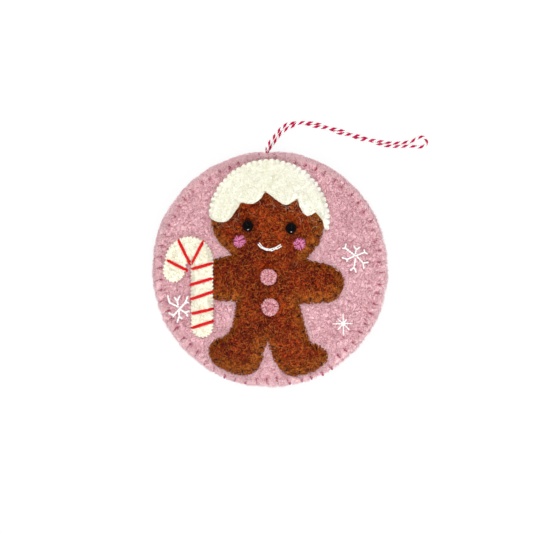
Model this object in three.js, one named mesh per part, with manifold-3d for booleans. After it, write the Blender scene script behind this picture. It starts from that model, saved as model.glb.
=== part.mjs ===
// Felt Christmas ornament: two pink felt discs padded with wadding and whip-stitched round the rim,
// with a gingerbread figure, its icing and a candy cane sewn on the front, and a hanging loop of twine.
// Millimetres. It lies on its back: +Z is the front, +Y points to the loop, and the origin is on the
// resting plane under the middle of the disc.

import * as THREE from 'three';
import { mergeVertices } from 'three/addons/utils/BufferGeometryUtils.js';
import Module from 'manifold-3d';

const wasm = await Module();
wasm.setup();
const radians = THREE.MathUtils.degToRad;

// The padded disc
const DISC_RADIUS = 50;
const DISC_FELT = 2;
const WADDING_LOFT = 3.6;
const WADDING_INSET = 3;
const BACK_CURL = 12;
const BACK_LIFT = 1.4;
const RIM_ROUND = 1;
const CLEARANCE = 0.3;

// The whip stitching round the rim, which leaves an opening for the loop
const STITCHES = 64;
const STITCH_THREAD = 0.6;
const STITCH_DEPTH = 4;
const LOOP_OPENING = 6;

// How far on towards the next stitch the thread is at its corners: on the front, at the top and the foot
// of the rim, and under the back
const STITCH_SLANT = [0.15, 0.3, 0.5, 0.65];

// Felt pieces on the front: how thick they are, and how near they come to the disc's edge
const APPLIQUE_FELT = 1.8;
const EDGE_MARGIN = 2.7;

// Candy cane and its red stripes
const CANE_WIDTH = 9.4;
const CANE_SHAFT = 28;
const CANE_BORE = 0.8;
const CANE_TIP = 5.7;
const CANE_SWEEP = radians(168);
const CROOK = [-34.3, 3.7];
const STRIPE_THREAD = 1;

// The cane rides over the figure's hand: how far past it before it starts down, and how far that takes
const HAND_MARGIN = 2;
const HAND_RAMP = 8;

// Where the stripes cross the cane's middle line, and how they slope. The first on the shaft is measured from
// its top, and the last from its foot.
const TIP_STRIPE = [3.1, radians(153)];
const CROOK_STRIPES = [[radians(117), radians(117)], [radians(44), radians(64)]];
const SHAFT_STRIPES = 5;
const FIRST_SHAFT_STRIPE = 2.35;
const LAST_SHAFT_STRIPE = 0.85;
const SHAFT_STRIPE_SLOPE = radians(16);

// Face and buttons
const EYE_DIAMETER = 4.7;
const EYE_HEIGHT = 3.2;
const EYE_BORE = 1.5;
const EYE_THREAD = 0.5;
const EYES = { left: [-9.4, 18.3], right: [8.8, 17.3] };
const EYE_THREAD_WAY = { left: radians(115), right: radians(75) };
const CHEEK_DIAMETER = 5.4;
const CHEEK_HEIGHT = 0.8;
const CHEEKS = { left: [-13, 11.8], right: [12.3, 10.85] };
const BUTTON_HEIGHT = 1.2;
const BUTTON_ROUND = 0.3;
const UPPER_BUTTON_DIAMETER = 6.7;
const UPPER_BUTTON = [-0.7, -3.3];
const LOWER_BUTTON_DIAMETER = 7.2;
const LOWER_BUTTON = [-0.1, -15.95];
const SMILE_THREAD = 0.9;
const SMILE = [[-5, 10.7], [-3.2, 9], [-0.8, 8], [2, 8.7], [4.6, 10.2]];

// Snowflakes of white thread: two with forked arms, and a star with plain long and short arms
const FLAKE_THREAD = 0.7;
const FLAKE_ARMS = 6;
const FLAKE_ARM = 3.6;
const FLAKE_FORK = 1.9;
const FORK_ANGLE = radians(38);
const LEFT_FLAKE = [-38.9, -16.5];
const LEFT_FLAKE_TURN = radians(97);
const UPPER_FLAKE = [36.3, 5.4];
const UPPER_FLAKE_TURN = radians(87);
const STAR_ARMS = 8;
const STAR_LONG_ARM = 4.8;
const STAR_SHORT_ARM = 3.2;
const STAR = [31.1, -23];

// The hanging loop: one length of twine, out along one strand, round the far fold and back along the other.
// Its two tails run through the seam to a knot in the wadding. The route is measured from the top of the rim.
const TWINE = 1.25;
const TAIL_SPACING = 1.7;
const KNOT_INSET = 13;
const TAIL_END = 5;
const KNOT_LENGTH = 4.6;
const KNOT_WIDTH = 4.4;
const KNOT_HEIGHT = 2.1;
const LOOP_ROUTE = [
  [-1, 1, 2.7], [-0.3, 2.6, 2.45], [1, 4.1, 2.05], [2.7, 5.7, 1.6], [4.6, 7.6, 1.2], [6.8, 9.4, 0.9],
  [9.2, 10.7, 0.72], [12.3, 11.5, 0.68], [16.4, 11.7, 0.68], [20.3, 11, 0.68], [28.5, 8.4, 0.68],
  [36.8, 5.8, 0.68], [45.1, 3.6, 0.68], [53.5, 2.3, 0.68], [57.8, 2.2, 0.68], [61.6, 2.3, 0.68],
  [64.4, 2, 0.68], [66.9, 2.9, 0.68], [67.8, 4.6, 0.68], [66.6, 6.1, 0.68], [64, 6.3, 0.68],
  [61.2, 5, 0.68], [57.6, 3.9, 0.68], [53.5, 3.9, 0.68], [45.5, 5.2, 0.68], [37.2, 7.4, 0.68],
  [28.9, 10, 0.68], [20.7, 12.6, 0.68], [16.4, 13.3, 0.7], [12.1, 13.1, 0.75], [8.6, 12.3, 1],
  [5.8, 10.6, 1.6], [3.8, 8.4, 2.4], [2.1, 6.1, 3.2], [0.8, 4.3, 3.8], [-0.3, 2.6, 4.2], [-1, 1, 4.4],
];

// Felt templates, drawn full size about the disc's middle as smooth stretches that meet at corners.
// The figure's left hand is a round end that lies under the cane.
const HAND = [-22.2, -4.4];
const HAND_RADIUS = 8.8;
const HAND_SWEEP = [radians(95), radians(265)];
const RIGHT_NECK = [15.6, 4.4];
const HEAD = [
  [17.6, 7.2], [20.5, 10.6], [22.5, 16], [22.4, 22.5], [19.4, 32], [11.5, 41], [-1, 44.6],
  [-13.5, 41.3], [-21.8, 33], [-25, 22], [-23.6, 14.8], [-20.1, 9.6], [-15.6, 6.2],
];
const LEFT_ARMPIT = [-14.4, -13.6];
const LEFT_LEG = [
  [-15.2, -20], [-17, -26], [-19.8, -28.5], [-23.8, -30], [-25.9, -34], [-24.8, -38.8],
  [-21, -42], [-15.5, -44.4], [-10, -44.9], [-5.7, -42.8], [-3.4, -38], [-1.4, -30.8],
];
const RIGHT_LEG = [
  [1.4, -37.6], [4.8, -43], [10, -45.6], [17, -44.1], [22.6, -41], [24.6, -36.6], [21.6, -32.8],
  [17, -30.4], [15.3, -25.2], [13.6, -19.4], [12.2, -14.7],
];
const RIGHT_ARM = [[18, -14.4], [24, -14.2], [28.7, -12], [31.2, -6.4], [29.6, -1], [24, 2.2], [19.5, 3]];
const ICING_MIDDLE = [-0.5, 21];
const ICING_RADIUS = 25.7;
const ICING_SWEEP = [radians(-8.5), radians(176)];
// The icing's lower edge, in shares of its radius from its middle
const DRIP_SHARES = [
  [[-0.926, -0.004], [-0.77, -0.039], [-0.619, 0.047], [-0.463, 0.288]],
  [[-0.304, 0.257], [-0.16, 0.323], [-0.062, 0.486]],
  [[0.125, 0.327], [0.272, 0.245], [0.377, 0.288], [0.486, 0.366]],
  [[0.514, 0.21], [0.607, 0.074], [0.689, 0.082], [0.767, 0.132]],
  [[0.883, 0.008], [0.914, -0.132], [0.969, -0.167]],
];

// Facets
const DISC_SEGMENTS = 48;
const ROUND_SEGMENTS = 14;
const FELT_CELL = 7;
const CANE_CELL = 3;
const CURVE_POINTS = 3;
const CROWN_SHARES = [0, 0.45, 0.75, 1];
const BEAD_SIDES = 8;
const DOME_STEPS = 3;
const SMILE_STEPS = 8;
const LOOP_STEPS = 64;
const FINE_SIDES = 4;
const THREAD_SIDES = 6;
const TWINE_SIDES = 8;

// The templates are enlarged together until the feet come within the margin of the disc's edge
const feet = [...LEFT_LEG, ...RIGHT_LEG].map(([x, y]) => Math.hypot(x, y));
const enlarged = (DISC_RADIUS - EDGE_MARGIN) / Math.max(...feet);
const place = ([x, y]) => new THREE.Vector2(x * enlarged, y * enlarged);

// Colours and finishes
const finish = (color, roughness) => () => new THREE.MeshStandardMaterial({ color, roughness, metalness: 0 });
const pinkFelt = finish(0xd8a7ac, 0.95);
const brownFelt = finish(0x7a3016, 0.95);
const creamFelt = finish(0xf2efd9, 0.95);
const whiteWool = finish(0xf4f1ea, 1);
const pinkThread = finish(0xb5637a, 0.8);
const redThread = finish(0xe00a0c, 0.7);
const whiteThread = finish(0xf7f5f2, 0.8);
const blackThread = finish(0x141214, 0.8);
const cheekThread = finish(0xca7495, 0.85);
const blackGlass = finish(0x0a0a0c, 0.15);
const twineCotton = finish(0xd64a6c, 0.9);

const ornament = new THREE.Group();

function add(name, geometry, material) {
  const mesh = new THREE.Mesh(geometry, material());
  mesh.name = name;
  ornament.add(mesh);
}

// Closed geometry as a solid that can be cut and joined, and back
function solid(geometry) {
  const bare = geometry.clone();
  bare.deleteAttribute('normal');
  bare.deleteAttribute('uv');
  const merged = mergeVertices(bare);
  const index = merged.index.array;
  const triangles = [];
  for (let i = 0; i < index.length; i += 3) {
    const [a, b, c] = index.slice(i, i + 3);
    if (a !== b && b !== c && c !== a) {
      triangles.push(a, b, c);
    }
  }
  return new wasm.Manifold(new wasm.Mesh({
    numProp: 3,
    vertProperties: new Float32Array(merged.attributes.position.array),
    triVerts: new Uint32Array(triangles),
  }));
}

function drawn(body) {
  const mesh = body.getMesh();
  const geometry = new THREE.BufferGeometry();
  geometry.setAttribute('position', new THREE.BufferAttribute(mesh.vertProperties, 3));
  geometry.setIndex(new THREE.BufferAttribute(mesh.triVerts, 1));
  geometry.computeVertexNormals();
  return geometry;
}

// A body of revolution about the vertical, from a profile of radius and height
function turned(profile, segments) {
  const points = profile.map(([r, z]) => new THREE.Vector2(r, z));
  return new THREE.LatheGeometry(points, segments).rotateX(Math.PI / 2);
}

// A closed round thread through the given points, with square ends
function thread(points, diameter, sides) {
  const last = points.length - 1;
  const ways = points.slice(1).map((point, i) => point.clone().sub(points[i]).normalize());
  const positions = [];
  const faces = [];
  let before = ways[0];
  const steep = Math.abs(before.z) > Math.hypot(before.x, before.y);
  const side = new THREE.Vector3(steep ? 1 : 0, 0, steep ? 0 : 1).cross(before).normalize();
  points.forEach((point, i) => {
    const way = ways[Math.max(i - 1, 0)].clone().add(ways[Math.min(i, last - 1)]).normalize();
    side.applyQuaternion(new THREE.Quaternion().setFromUnitVectors(before, way));
    before = way;
    for (let k = 0; k < sides; k++) {
      const spoke = side.clone().applyAxisAngle(way, (2 * Math.PI * (k + 0.5)) / sides);
      positions.push(...point.clone().addScaledVector(spoke, diameter / 2).toArray());
    }
  });
  for (let i = 0; i < last * sides; i += sides) {
    for (let k = 0; k < sides; k++) {
      const a = i + k;
      const b = i + ((k + 1) % sides);
      faces.push(a, b, b + sides, a, b + sides, a + sides);
    }
  }
  for (let k = 1; k < sides - 1; k++) {
    faces.push(0, k + 1, k);
    faces.push(last * sides, last * sides + k, last * sides + k + 1);
  }
  const geometry = new THREE.BufferGeometry();
  geometry.setAttribute('position', new THREE.Float32BufferAttribute(positions, 3));
  geometry.setIndex(faces);
  geometry.computeVertexNormals();
  return geometry;
}

// Heights of the padded disc by distance from its middle: the back lies flat and curls up to the rim,
// and the front rises over the wadding inside the line of stitches
const seamRadius = DISC_RADIUS - STITCH_DEPTH;
const restRadius = DISC_RADIUS - BACK_CURL;
const backUnder = (r) => BACK_LIFT * THREE.MathUtils.smoothstep(r, restRadius, DISC_RADIUS);
const backTop = (r) => backUnder(r) + DISC_FELT;
const pocket = (r) => WADDING_LOFT * (1 - Math.min(1, r / seamRadius) ** 4);
const frontUnder = (r) => backTop(r) + CLEARANCE + pocket(r);
const frontTop = (r) => frontUnder(r) + DISC_FELT;

// Heights that the pieces on the front lie at. The cane rides over the figure's hand and comes down to
// the disc beyond it.
const layer = APPLIQUE_FELT + CLEARANCE;
const hand = place(HAND);
const handRadius = HAND_RADIUS * enlarged;
const onDisc = (x, y) => frontTop(Math.hypot(x, y)) + CLEARANCE;
const onFigure = (x, y) => onDisc(x, y) + layer;
const underCane = (x, y) => {
  const past = Math.hypot(x - hand.x, y - hand.y) - handRadius;
  return onDisc(x, y) + layer * (1 - THREE.MathUtils.smoothstep(past, HAND_MARGIN, HAND_MARGIN + HAND_RAMP));
};
const onCane = (x, y) => underCane(x, y) + layer;
const rest = (point, height, diameter) =>
  new THREE.Vector3(point.x, point.y, height(point.x, point.y) + diameter / 2);

// A felt piece cut to an outline and laid over what is under it
function laid(outline, under, thickness, cell) {
  const box = new THREE.Box2().setFromPoints(outline.getPoints(CURVE_POINTS)).expandByScalar(cell);
  const size = box.getSize(new THREE.Vector2());
  const middle = box.getCenter(new THREE.Vector2());
  const cells = size.clone().divideScalar(cell).ceil();
  const sheet = new THREE.BoxGeometry(size.x, size.y, 1, cells.x, cells.y, 1);
  sheet.translate(middle.x, middle.y, 0);
  const corners = sheet.attributes.position;
  for (let i = 0; i < corners.count; i++) {
    const lower = under(corners.getX(i), corners.getY(i));
    corners.setZ(i, corners.getZ(i) > 0 ? lower + thickness : lower);
  }
  const cutter = new THREE.ExtrudeGeometry(outline, {
    depth: onFigure(0, 0) + 2 * layer,
    bevelEnabled: false,
    curveSegments: CURVE_POINTS,
  });
  return drawn(solid(sheet).intersect(solid(cutter)));
}

// Outlines of the felt pieces
function figureOutline() {
  const shape = new THREE.Shape();
  shape.moveTo(...place(RIGHT_NECK).toArray());
  shape.splineThru(HEAD.map(place));
  shape.absarc(hand.x, hand.y, handRadius, ...HAND_SWEEP);
  shape.lineTo(...place(LEFT_ARMPIT).toArray());
  shape.splineThru(LEFT_LEG.map(place));
  shape.splineThru(RIGHT_LEG.map(place));
  shape.splineThru([...RIGHT_ARM, RIGHT_NECK].map(place));
  return shape;
}

function icingOutline() {
  const shape = new THREE.Shape();
  const middle = place(ICING_MIDDLE);
  const radius = ICING_RADIUS * enlarged;
  const [from, to] = ICING_SWEEP;
  const top = (from + to) / 2;
  shape.absarc(middle.x, middle.y, radius, from, top);
  shape.absarc(middle.x, middle.y, radius, top, to);
  const start = shape.getPoint(0);
  const drips = DRIP_SHARES.map((drip) => drip.map(([x, y]) =>
    new THREE.Vector2(x, y).multiplyScalar(radius).add(middle)));
  drips.at(-1).push(start);
  drips.forEach((drip) => shape.splineThru(drip));
  return shape;
}

const crook = place(CROOK);
const caneHalf = (CANE_WIDTH * enlarged) / 2;
const caneBore = CANE_BORE * enlarged;
const caneSpine = caneBore + caneHalf;
const caneFoot = new THREE.Vector2(crook.x + caneSpine, crook.y - CANE_SHAFT * enlarged);
const fromCrook = (out, along) => new THREE.Vector2(out, along)
  .rotateAround(new THREE.Vector2(), CANE_SWEEP).add(crook);
const caneBend = fromCrook(caneSpine, 0);
const caneTip = fromCrook(caneSpine, CANE_TIP * enlarged);

function caneOutline() {
  const shape = new THREE.Shape();
  shape.absarc(caneFoot.x, caneFoot.y, caneHalf, Math.PI, 2 * Math.PI);
  shape.absarc(crook.x, crook.y, caneBore + 2 * caneHalf, 0, CANE_SWEEP / 2);
  shape.absarc(crook.x, crook.y, caneBore + 2 * caneHalf, CANE_SWEEP / 2, CANE_SWEEP);
  shape.absarc(caneTip.x, caneTip.y, caneHalf, CANE_SWEEP, CANE_SWEEP + Math.PI);
  shape.absarc(crook.x, crook.y, caneBore, CANE_SWEEP, 0, true);
  shape.closePath();
  return shape;
}

const figure = figureOutline();
const icing = icingOutline();
const cane = caneOutline();

// Snowflakes: the outline of one arm, from the notch before it to its far side, repeated round the middle
function flakeOutline(at, turn, arms, armPoints) {
  const middle = place(at);
  const points = [];
  for (let k = 0; k < arms; k++) {
    const way = turn + (2 * Math.PI * k) / arms;
    armPoints(k).forEach(([along, across]) => {
      points.push(place([along, across]).rotateAround(new THREE.Vector2(), way).add(middle));
    });
  }
  return new THREE.Shape(points);
}

const flakeHalf = FLAKE_THREAD / 2;
const notch = (arms) => [flakeHalf / Math.tan(Math.PI / arms), -flakeHalf];

function forkedArm() {
  const c = Math.cos(FORK_ANGLE);
  const s = Math.sin(FORK_ANGLE);
  const outer = [FLAKE_ARM + FLAKE_FORK * c - flakeHalf * s, FLAKE_FORK * s + flakeHalf * c];
  const inner = [FLAKE_ARM + FLAKE_FORK * c + flakeHalf * s, FLAKE_FORK * s - flakeHalf * c];
  const elbow = [FLAKE_ARM - flakeHalf * Math.tan(FORK_ANGLE / 2), flakeHalf];
  const left = [elbow, outer, inner];
  const right = left.map(([along, across]) => [along, -across]);
  return [notch(FLAKE_ARMS), ...right, [FLAKE_ARM + flakeHalf / s, 0], ...left.reverse()];
}

function plainArm(k) {
  const length = k % 2 ? STAR_SHORT_ARM : STAR_LONG_ARM;
  return [notch(STAR_ARMS), [length, -flakeHalf], [length, flakeHalf]];
}

const flakes = {
  left: flakeOutline(LEFT_FLAKE, LEFT_FLAKE_TURN, FLAKE_ARMS, forkedArm),
  upper: flakeOutline(UPPER_FLAKE, UPPER_FLAKE_TURN, FLAKE_ARMS, forkedArm),
  lower: flakeOutline(STAR, 0, STAR_ARMS, plainArm),
};

// Rim stitches: where each one goes through both discs, outside whatever is sewn near the edge
const loopRoute = LOOP_ROUTE.map(([x, y, z]) => new THREE.Vector3(x, DISC_RADIUS + y, z));
const [loopExit] = loopRoute;
const exitAngle = Math.atan2(loopExit.y, loopExit.x);
const openingAngle = LOOP_OPENING / seamRadius;
const stitchPitch = (2 * Math.PI - openingAngle) / (STITCHES - 1);
const stitchAngle = (k) => exitAngle + openingAngle / 2 + k * stitchPitch;
const atStitch = (k, r, z) =>
  new THREE.Vector3(r * Math.cos(stitchAngle(k)), r * Math.sin(stitchAngle(k)), z);
const stitchHole = STITCH_THREAD + 2 * CLEARANCE;
const sewn = [figure, icing, cane, ...Object.values(flakes)];
const sewnPoints = sewn.flatMap((outline) => outline.getPoints(CURVE_POINTS));

function stitchRadius(k) {
  const near = sewnPoints.filter((point) => {
    const turn = Math.abs(point.angle() - stitchAngle(k)) % (2 * Math.PI);
    return Math.min(turn, 2 * Math.PI - turn) < stitchPitch;
  });
  const outermost = Math.max(0, ...near.map((point) => point.length()));
  return Math.max(seamRadius, outermost + STITCH_THREAD / 2 + CLEARANCE);
}

// One unbroken thread: up through a hole, over the front, round the rim, under the back to the next hole
function rimStitching() {
  const away = STITCH_THREAD / 2 + CLEARANCE;
  const corner = RIM_ROUND - away * Math.tan(Math.PI / 8);
  const rimTop = frontTop(DISC_RADIUS);
  const rimUnder = backUnder(DISC_RADIUS);
  const [onFront, atTop, atFoot, onBack] = STITCH_SLANT;
  const points = [];
  const go = (k, r, z) => points.push(atStitch(k, r, z));
  const middle = backTop(seamRadius) + CLEARANCE / 2;
  go(0, stitchRadius(0), middle);
  for (let k = 0; k < STITCHES - 1; k++) {
    const hole = stitchRadius(k);
    const next = stitchRadius(k + 1);
    go(k, hole, frontTop(hole) + away);
    go(k + onFront, DISC_RADIUS - corner, rimTop + away);
    go(k + atTop, DISC_RADIUS + away, rimTop - corner);
    go(k + atFoot, DISC_RADIUS + away, rimUnder + corner);
    go(k + onBack, DISC_RADIUS - corner, rimUnder - away);
    go(k + 1, next, backUnder(next) - away);
  }
  go(STITCHES - 1, stitchRadius(STITCHES - 1), middle);
  return points;
}

// The least gap of a thread to itself, between points more than four diameters apart along it
function leastGap(points, diameter) {
  const curve = new THREE.CatmullRomCurve3(points, false, 'catmullrom', 0);
  const spaced = curve.getSpacedPoints(points.length * 2);
  const apart = Math.ceil((4 * diameter) / spaced[0].distanceTo(spaced[1]));
  let least = Infinity;
  spaced.forEach((point, i) => {
    spaced.slice(i + apart).forEach((other) => {
      least = Math.min(least, point.distanceTo(other));
    });
  });
  return least - diameter;
}

// The loop's tails, side by side through the seam, and the knot that holds them
function tailPoints(side) {
  const x = loopExit.x + (side * TAIL_SPACING) / 2;
  const knot = seamRadius - KNOT_INSET;
  return [knot - TAIL_END, knot, seamRadius - KNOT_INSET / 2, seamRadius, DISC_RADIUS].map((y) => {
    const r = Math.hypot(x, y);
    return new THREE.Vector3(x, y, (backTop(r) + frontUnder(r)) / 2);
  });
}

function knotAndTails(around) {
  const knot = new THREE.SphereGeometry(1, TWINE_SIDES, THREAD_SIDES);
  knot.scale(KNOT_WIDTH / 2 + around, KNOT_LENGTH / 2 + around, KNOT_HEIGHT / 2 + around);
  const middle = tailPoints(0)[1];
  knot.translate(middle.x, middle.y, middle.z);
  const tail = (side) => solid(thread(tailPoints(side), TWINE + 2 * around, TWINE_SIDES));
  return solid(knot).add(tail(-1)).add(tail(1));
}

// The padded disc: each felt disc is turned, pierced by the stitches and grooved for the twine
const rimStops = [seamRadius - STITCH_DEPTH, seamRadius - STITCH_DEPTH / 2, DISC_RADIUS - RIM_ROUND];
const crownStops = CROWN_SHARES.map((share) => share * restRadius);
const frontStops = [...crownStops, ...rimStops];
const backStops = [0, restRadius, ...rimStops];
const frontProfile = [
  ...frontStops.map((r) => [r, frontUnder(r)]),
  [DISC_RADIUS, frontUnder(DISC_RADIUS)],
  [DISC_RADIUS, frontTop(DISC_RADIUS) - RIM_ROUND],
  ...frontStops.map((r) => [r, frontTop(r)]).reverse(),
];
const backProfile = [
  ...backStops.map((r) => [r, backUnder(r)]),
  [DISC_RADIUS, backUnder(DISC_RADIUS) + RIM_ROUND],
  [DISC_RADIUS, backTop(DISC_RADIUS)],
  ...backStops.map((r) => [r, backTop(r)]).reverse(),
];
const waddingStops = [...crownStops, seamRadius - WADDING_INSET];
const waddingProfile = [
  ...waddingStops.map((r) => [r, backTop(r) + CLEARANCE]),
  ...waddingStops.map((r) => [r, frontUnder(r) - CLEARANCE]).reverse(),
];

let stitchHoles = null;
for (let k = 0; k < STITCHES; k++) {
  const r = stitchRadius(k);
  const ends = [-DISC_FELT, frontTop(0) + DISC_FELT].map((z) => atStitch(k, r, z));
  const hole = solid(thread(ends, stitchHole * Math.SQRT2, FINE_SIDES));
  stitchHoles = stitchHoles ? stitchHoles.add(hole) : hole;
}
const cuts = stitchHoles.add(knotAndTails(CLEARANCE));
const partingLength = KNOT_INSET + TAIL_END + CLEARANCE;
const parting = new THREE.BoxGeometry(KNOT_WIDTH + 2 * CLEARANCE, partingLength, frontTop(0));
parting.translate(loopExit.x, seamRadius - partingLength / 2, frontTop(0) / 2);
add('back_disc', drawn(solid(turned(backProfile, DISC_SEGMENTS)).subtract(cuts)), pinkFelt);
add('wadding', drawn(solid(turned(waddingProfile, DISC_SEGMENTS / 2)).subtract(solid(parting))), whiteWool);
add('front_disc', drawn(solid(turned(frontProfile, DISC_SEGMENTS)).subtract(cuts)), pinkFelt);
const stitching = rimStitching();
add('rim_stitching', thread(stitching, STITCH_THREAD, FINE_SIDES), pinkThread);
console.log(`rim stitching: least gap to itself ${leastGap(stitching, STITCH_THREAD).toFixed(2)} mm`);

// The figure, its icing and the candy cane
add('gingerbread_figure', laid(figure, onDisc, APPLIQUE_FELT, FELT_CELL), brownFelt);
add('icing_cap', laid(icing, onFigure, APPLIQUE_FELT, FELT_CELL), creamFelt);
add('candy_cane', laid(cane, underCane, APPLIQUE_FELT, CANE_CELL), creamFelt);

// Red stripes, each a straight stitch from edge to edge of the cane
function stripe(middle, slope, reach) {
  const points = [-1, -0.5, 0, 0.5, 1].map((share) => {
    const point = new THREE.Vector2(share * reach, 0).rotateAround(new THREE.Vector2(), slope).add(middle);
    return rest(point, onCane, STRIPE_THREAD);
  });
  return thread(points, STRIPE_THREAD, THREAD_SIDES);
}

const [tipStripe, tipSlope] = TIP_STRIPE;
const stripes = [[caneTip.clone().lerp(caneBend, 1 - tipStripe / CANE_TIP), tipSlope, caneHalf]];
CROOK_STRIPES.forEach(([angle, slope]) => {
  const middle = new THREE.Vector2(caneSpine, 0).rotateAround(new THREE.Vector2(), angle).add(crook);
  stripes.push([middle, slope, caneHalf]);
});
const stripePitch = (CANE_SHAFT - FIRST_SHAFT_STRIPE - LAST_SHAFT_STRIPE) / (SHAFT_STRIPES - 1);
for (let k = 0; k < SHAFT_STRIPES; k++) {
  const down = (FIRST_SHAFT_STRIPE + stripePitch * k) * enlarged;
  const middle = new THREE.Vector2(caneFoot.x, crook.y - down);
  stripes.push([middle, SHAFT_STRIPE_SLOPE, caneHalf / Math.cos(SHAFT_STRIPE_SLOPE)]);
}
stripes.forEach((crossing, k) => add(`cane_stripe_${k + 1}`, stripe(...crossing), redThread));

// Eyes: beads that stand on their holes, each held by a thread up through the hole and over one side
const beadWall = (EYE_DIAMETER - EYE_BORE) / 4;
const beadSection = (angle, out) => [
  EYE_BORE / 2 + beadWall - (beadWall + out) * Math.cos(angle),
  EYE_HEIGHT / 2 - (EYE_HEIGHT / 2 + out) * Math.sin(angle),
];
const beadProfile = Array.from({ length: BEAD_SIDES + 1 }, (_, k) => {
  const angle = (2 * Math.PI * k) / BEAD_SIDES;
  return beadSection(angle, 0);
});

function eyeThread(way) {
  const out = EYE_THREAD / 2 + CLEARANCE;
  const over = [270, 225, 180].map((angle) => beadSection(radians(angle), out));
  const path = [
    [0, EYE_THREAD / 2],
    [0, EYE_HEIGHT + out - EYE_THREAD],
    [EYE_THREAD, EYE_HEIGHT + out],
    ...over,
    [EYE_DIAMETER / 2 + out, EYE_THREAD / 2],
  ];
  return path.map(([along, z]) => new THREE.Vector3(along * Math.cos(way), along * Math.sin(way), z));
}

Object.entries(EYES).forEach(([side, at]) => {
  const { x, y } = place(at);
  const z = onFigure(x, y);
  add(`eye_bead_${side}`, turned(beadProfile, ROUND_SEGMENTS).translate(x, y, z), blackGlass);
  const path = eyeThread(EYE_THREAD_WAY[side]);
  add(`eye_thread_${side}`, thread(path, EYE_THREAD, THREAD_SIDES).translate(x, y, z), blackThread);
});

// Cheeks: low domes of satin stitch
Object.entries(CHEEKS).forEach(([side, at]) => {
  const { x, y } = place(at);
  const dome = Array.from({ length: DOME_STEPS }, (_, k) => {
    const angle = (k * Math.PI) / 2 / DOME_STEPS;
    return [(CHEEK_DIAMETER / 2) * Math.cos(angle), CHEEK_HEIGHT * Math.sin(angle)];
  });
  const profile = [[0, 0], ...dome, [0, CHEEK_HEIGHT]];
  add(`cheek_${side}`, turned(profile, ROUND_SEGMENTS).translate(x, y, onFigure(x, y)), cheekThread);
});

// Buttons: round felt dots
[['upper', UPPER_BUTTON, UPPER_BUTTON_DIAMETER], ['lower', LOWER_BUTTON, LOWER_BUTTON_DIAMETER]].forEach(
  ([name, at, diameter]) => {
    const { x, y } = place(at);
    const dot = [
      [0, 0], [diameter / 2, 0], [diameter / 2, BUTTON_HEIGHT - BUTTON_ROUND],
      [diameter / 2 - BUTTON_ROUND, BUTTON_HEIGHT], [0, BUTTON_HEIGHT],
    ];
    add(`button_${name}`, turned(dot, ROUND_SEGMENTS).translate(x, y, onFigure(x, y)), pinkFelt);
  });

// Smile
const smilePoints = new THREE.SplineCurve(SMILE.map(place)).getSpacedPoints(SMILE_STEPS)
  .map((point) => rest(point, onFigure, SMILE_THREAD));
add('smile', thread(smilePoints, SMILE_THREAD, THREAD_SIDES), whiteThread);

// Snowflakes, sewn flat on the disc
Object.entries(flakes).forEach(([name, outline]) => {
  add(`snowflake_${name}`, laid(outline, onDisc, FLAKE_THREAD, FELT_CELL), whiteThread);
});

// The loop and its knot
const twineSection = new THREE.Shape(Array.from({ length: TWINE_SIDES }, (_, k) => {
  const turn = (2 * Math.PI * k) / TWINE_SIDES;
  return new THREE.Vector2(TWINE / 2, 0).rotateAround(new THREE.Vector2(), turn);
}));
add('twine_loop', new THREE.ExtrudeGeometry(twineSection, {
  steps: LOOP_STEPS,
  extrudePath: new THREE.CatmullRomCurve3(loopRoute),
  bevelEnabled: false,
}), twineCotton);
add('twine_knot', drawn(knotAndTails(0)), twineCotton);

export default ornament;
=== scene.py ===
import math
import random

import bmesh
import bpy
import numpy as np
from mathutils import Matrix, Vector, noise
from mathutils.bvhtree import BVHTree
from mathutils.kdtree import KDTree


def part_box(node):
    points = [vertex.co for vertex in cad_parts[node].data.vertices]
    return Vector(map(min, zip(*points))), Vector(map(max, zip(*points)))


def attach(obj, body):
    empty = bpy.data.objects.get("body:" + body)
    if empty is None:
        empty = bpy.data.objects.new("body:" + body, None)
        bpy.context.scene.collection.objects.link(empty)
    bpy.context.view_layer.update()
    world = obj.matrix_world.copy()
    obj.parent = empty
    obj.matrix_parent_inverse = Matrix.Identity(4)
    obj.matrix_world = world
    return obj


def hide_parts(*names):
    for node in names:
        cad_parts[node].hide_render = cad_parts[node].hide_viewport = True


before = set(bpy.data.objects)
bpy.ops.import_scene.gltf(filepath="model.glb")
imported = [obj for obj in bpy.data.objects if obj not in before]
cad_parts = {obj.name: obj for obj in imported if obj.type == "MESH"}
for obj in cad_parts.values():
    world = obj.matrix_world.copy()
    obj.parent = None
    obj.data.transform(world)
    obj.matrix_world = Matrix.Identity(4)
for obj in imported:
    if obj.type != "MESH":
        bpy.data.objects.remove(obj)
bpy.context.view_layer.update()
scene = bpy.context.scene
MM = 0.001


# Camera, table and light
# A camera straight above a white table top, which shows only the ornament's faint shadow. A soft lamp hangs to
# the lower right, a far wall, a low window and the white room fill in the rest, and a window pane, which only
# glossy surfaces show, glints in the beads.
def linear(colour):
    """An sRGB hex colour in linear light."""
    parts = [int(colour[i:i + 2], 16) / 255 for i in (0, 2, 4)]
    return [c / 12.92 if c <= 0.04045 else ((c + 0.055) / 1.055) ** 2.4 for c in parts] + [1]


def node(tree, kind, inputs=None, stops=None, **settings):
    """Adds a node. An input is given its value, or the output that feeds it."""
    added = tree.nodes.new(kind)
    for name, value in settings.items():
        setattr(added, name, value)
    for name, value in (inputs or {}).items():
        if isinstance(value, bpy.types.NodeSocket):
            tree.links.new(value, added.inputs[name])
        else:
            added.inputs[name].default_value = value
    for i, (place, colour) in enumerate(stops or []):
        elements = added.color_ramp.elements
        stop = elements[i] if i < len(elements) else elements.new(place)
        stop.position = place
        stop.color = linear(colour)
    return added


def empty_tree(owner):
    """The node tree of a material or of the world, cleared."""
    owner.use_nodes = True
    owner.node_tree.nodes.clear()
    return owner.node_tree


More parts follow.
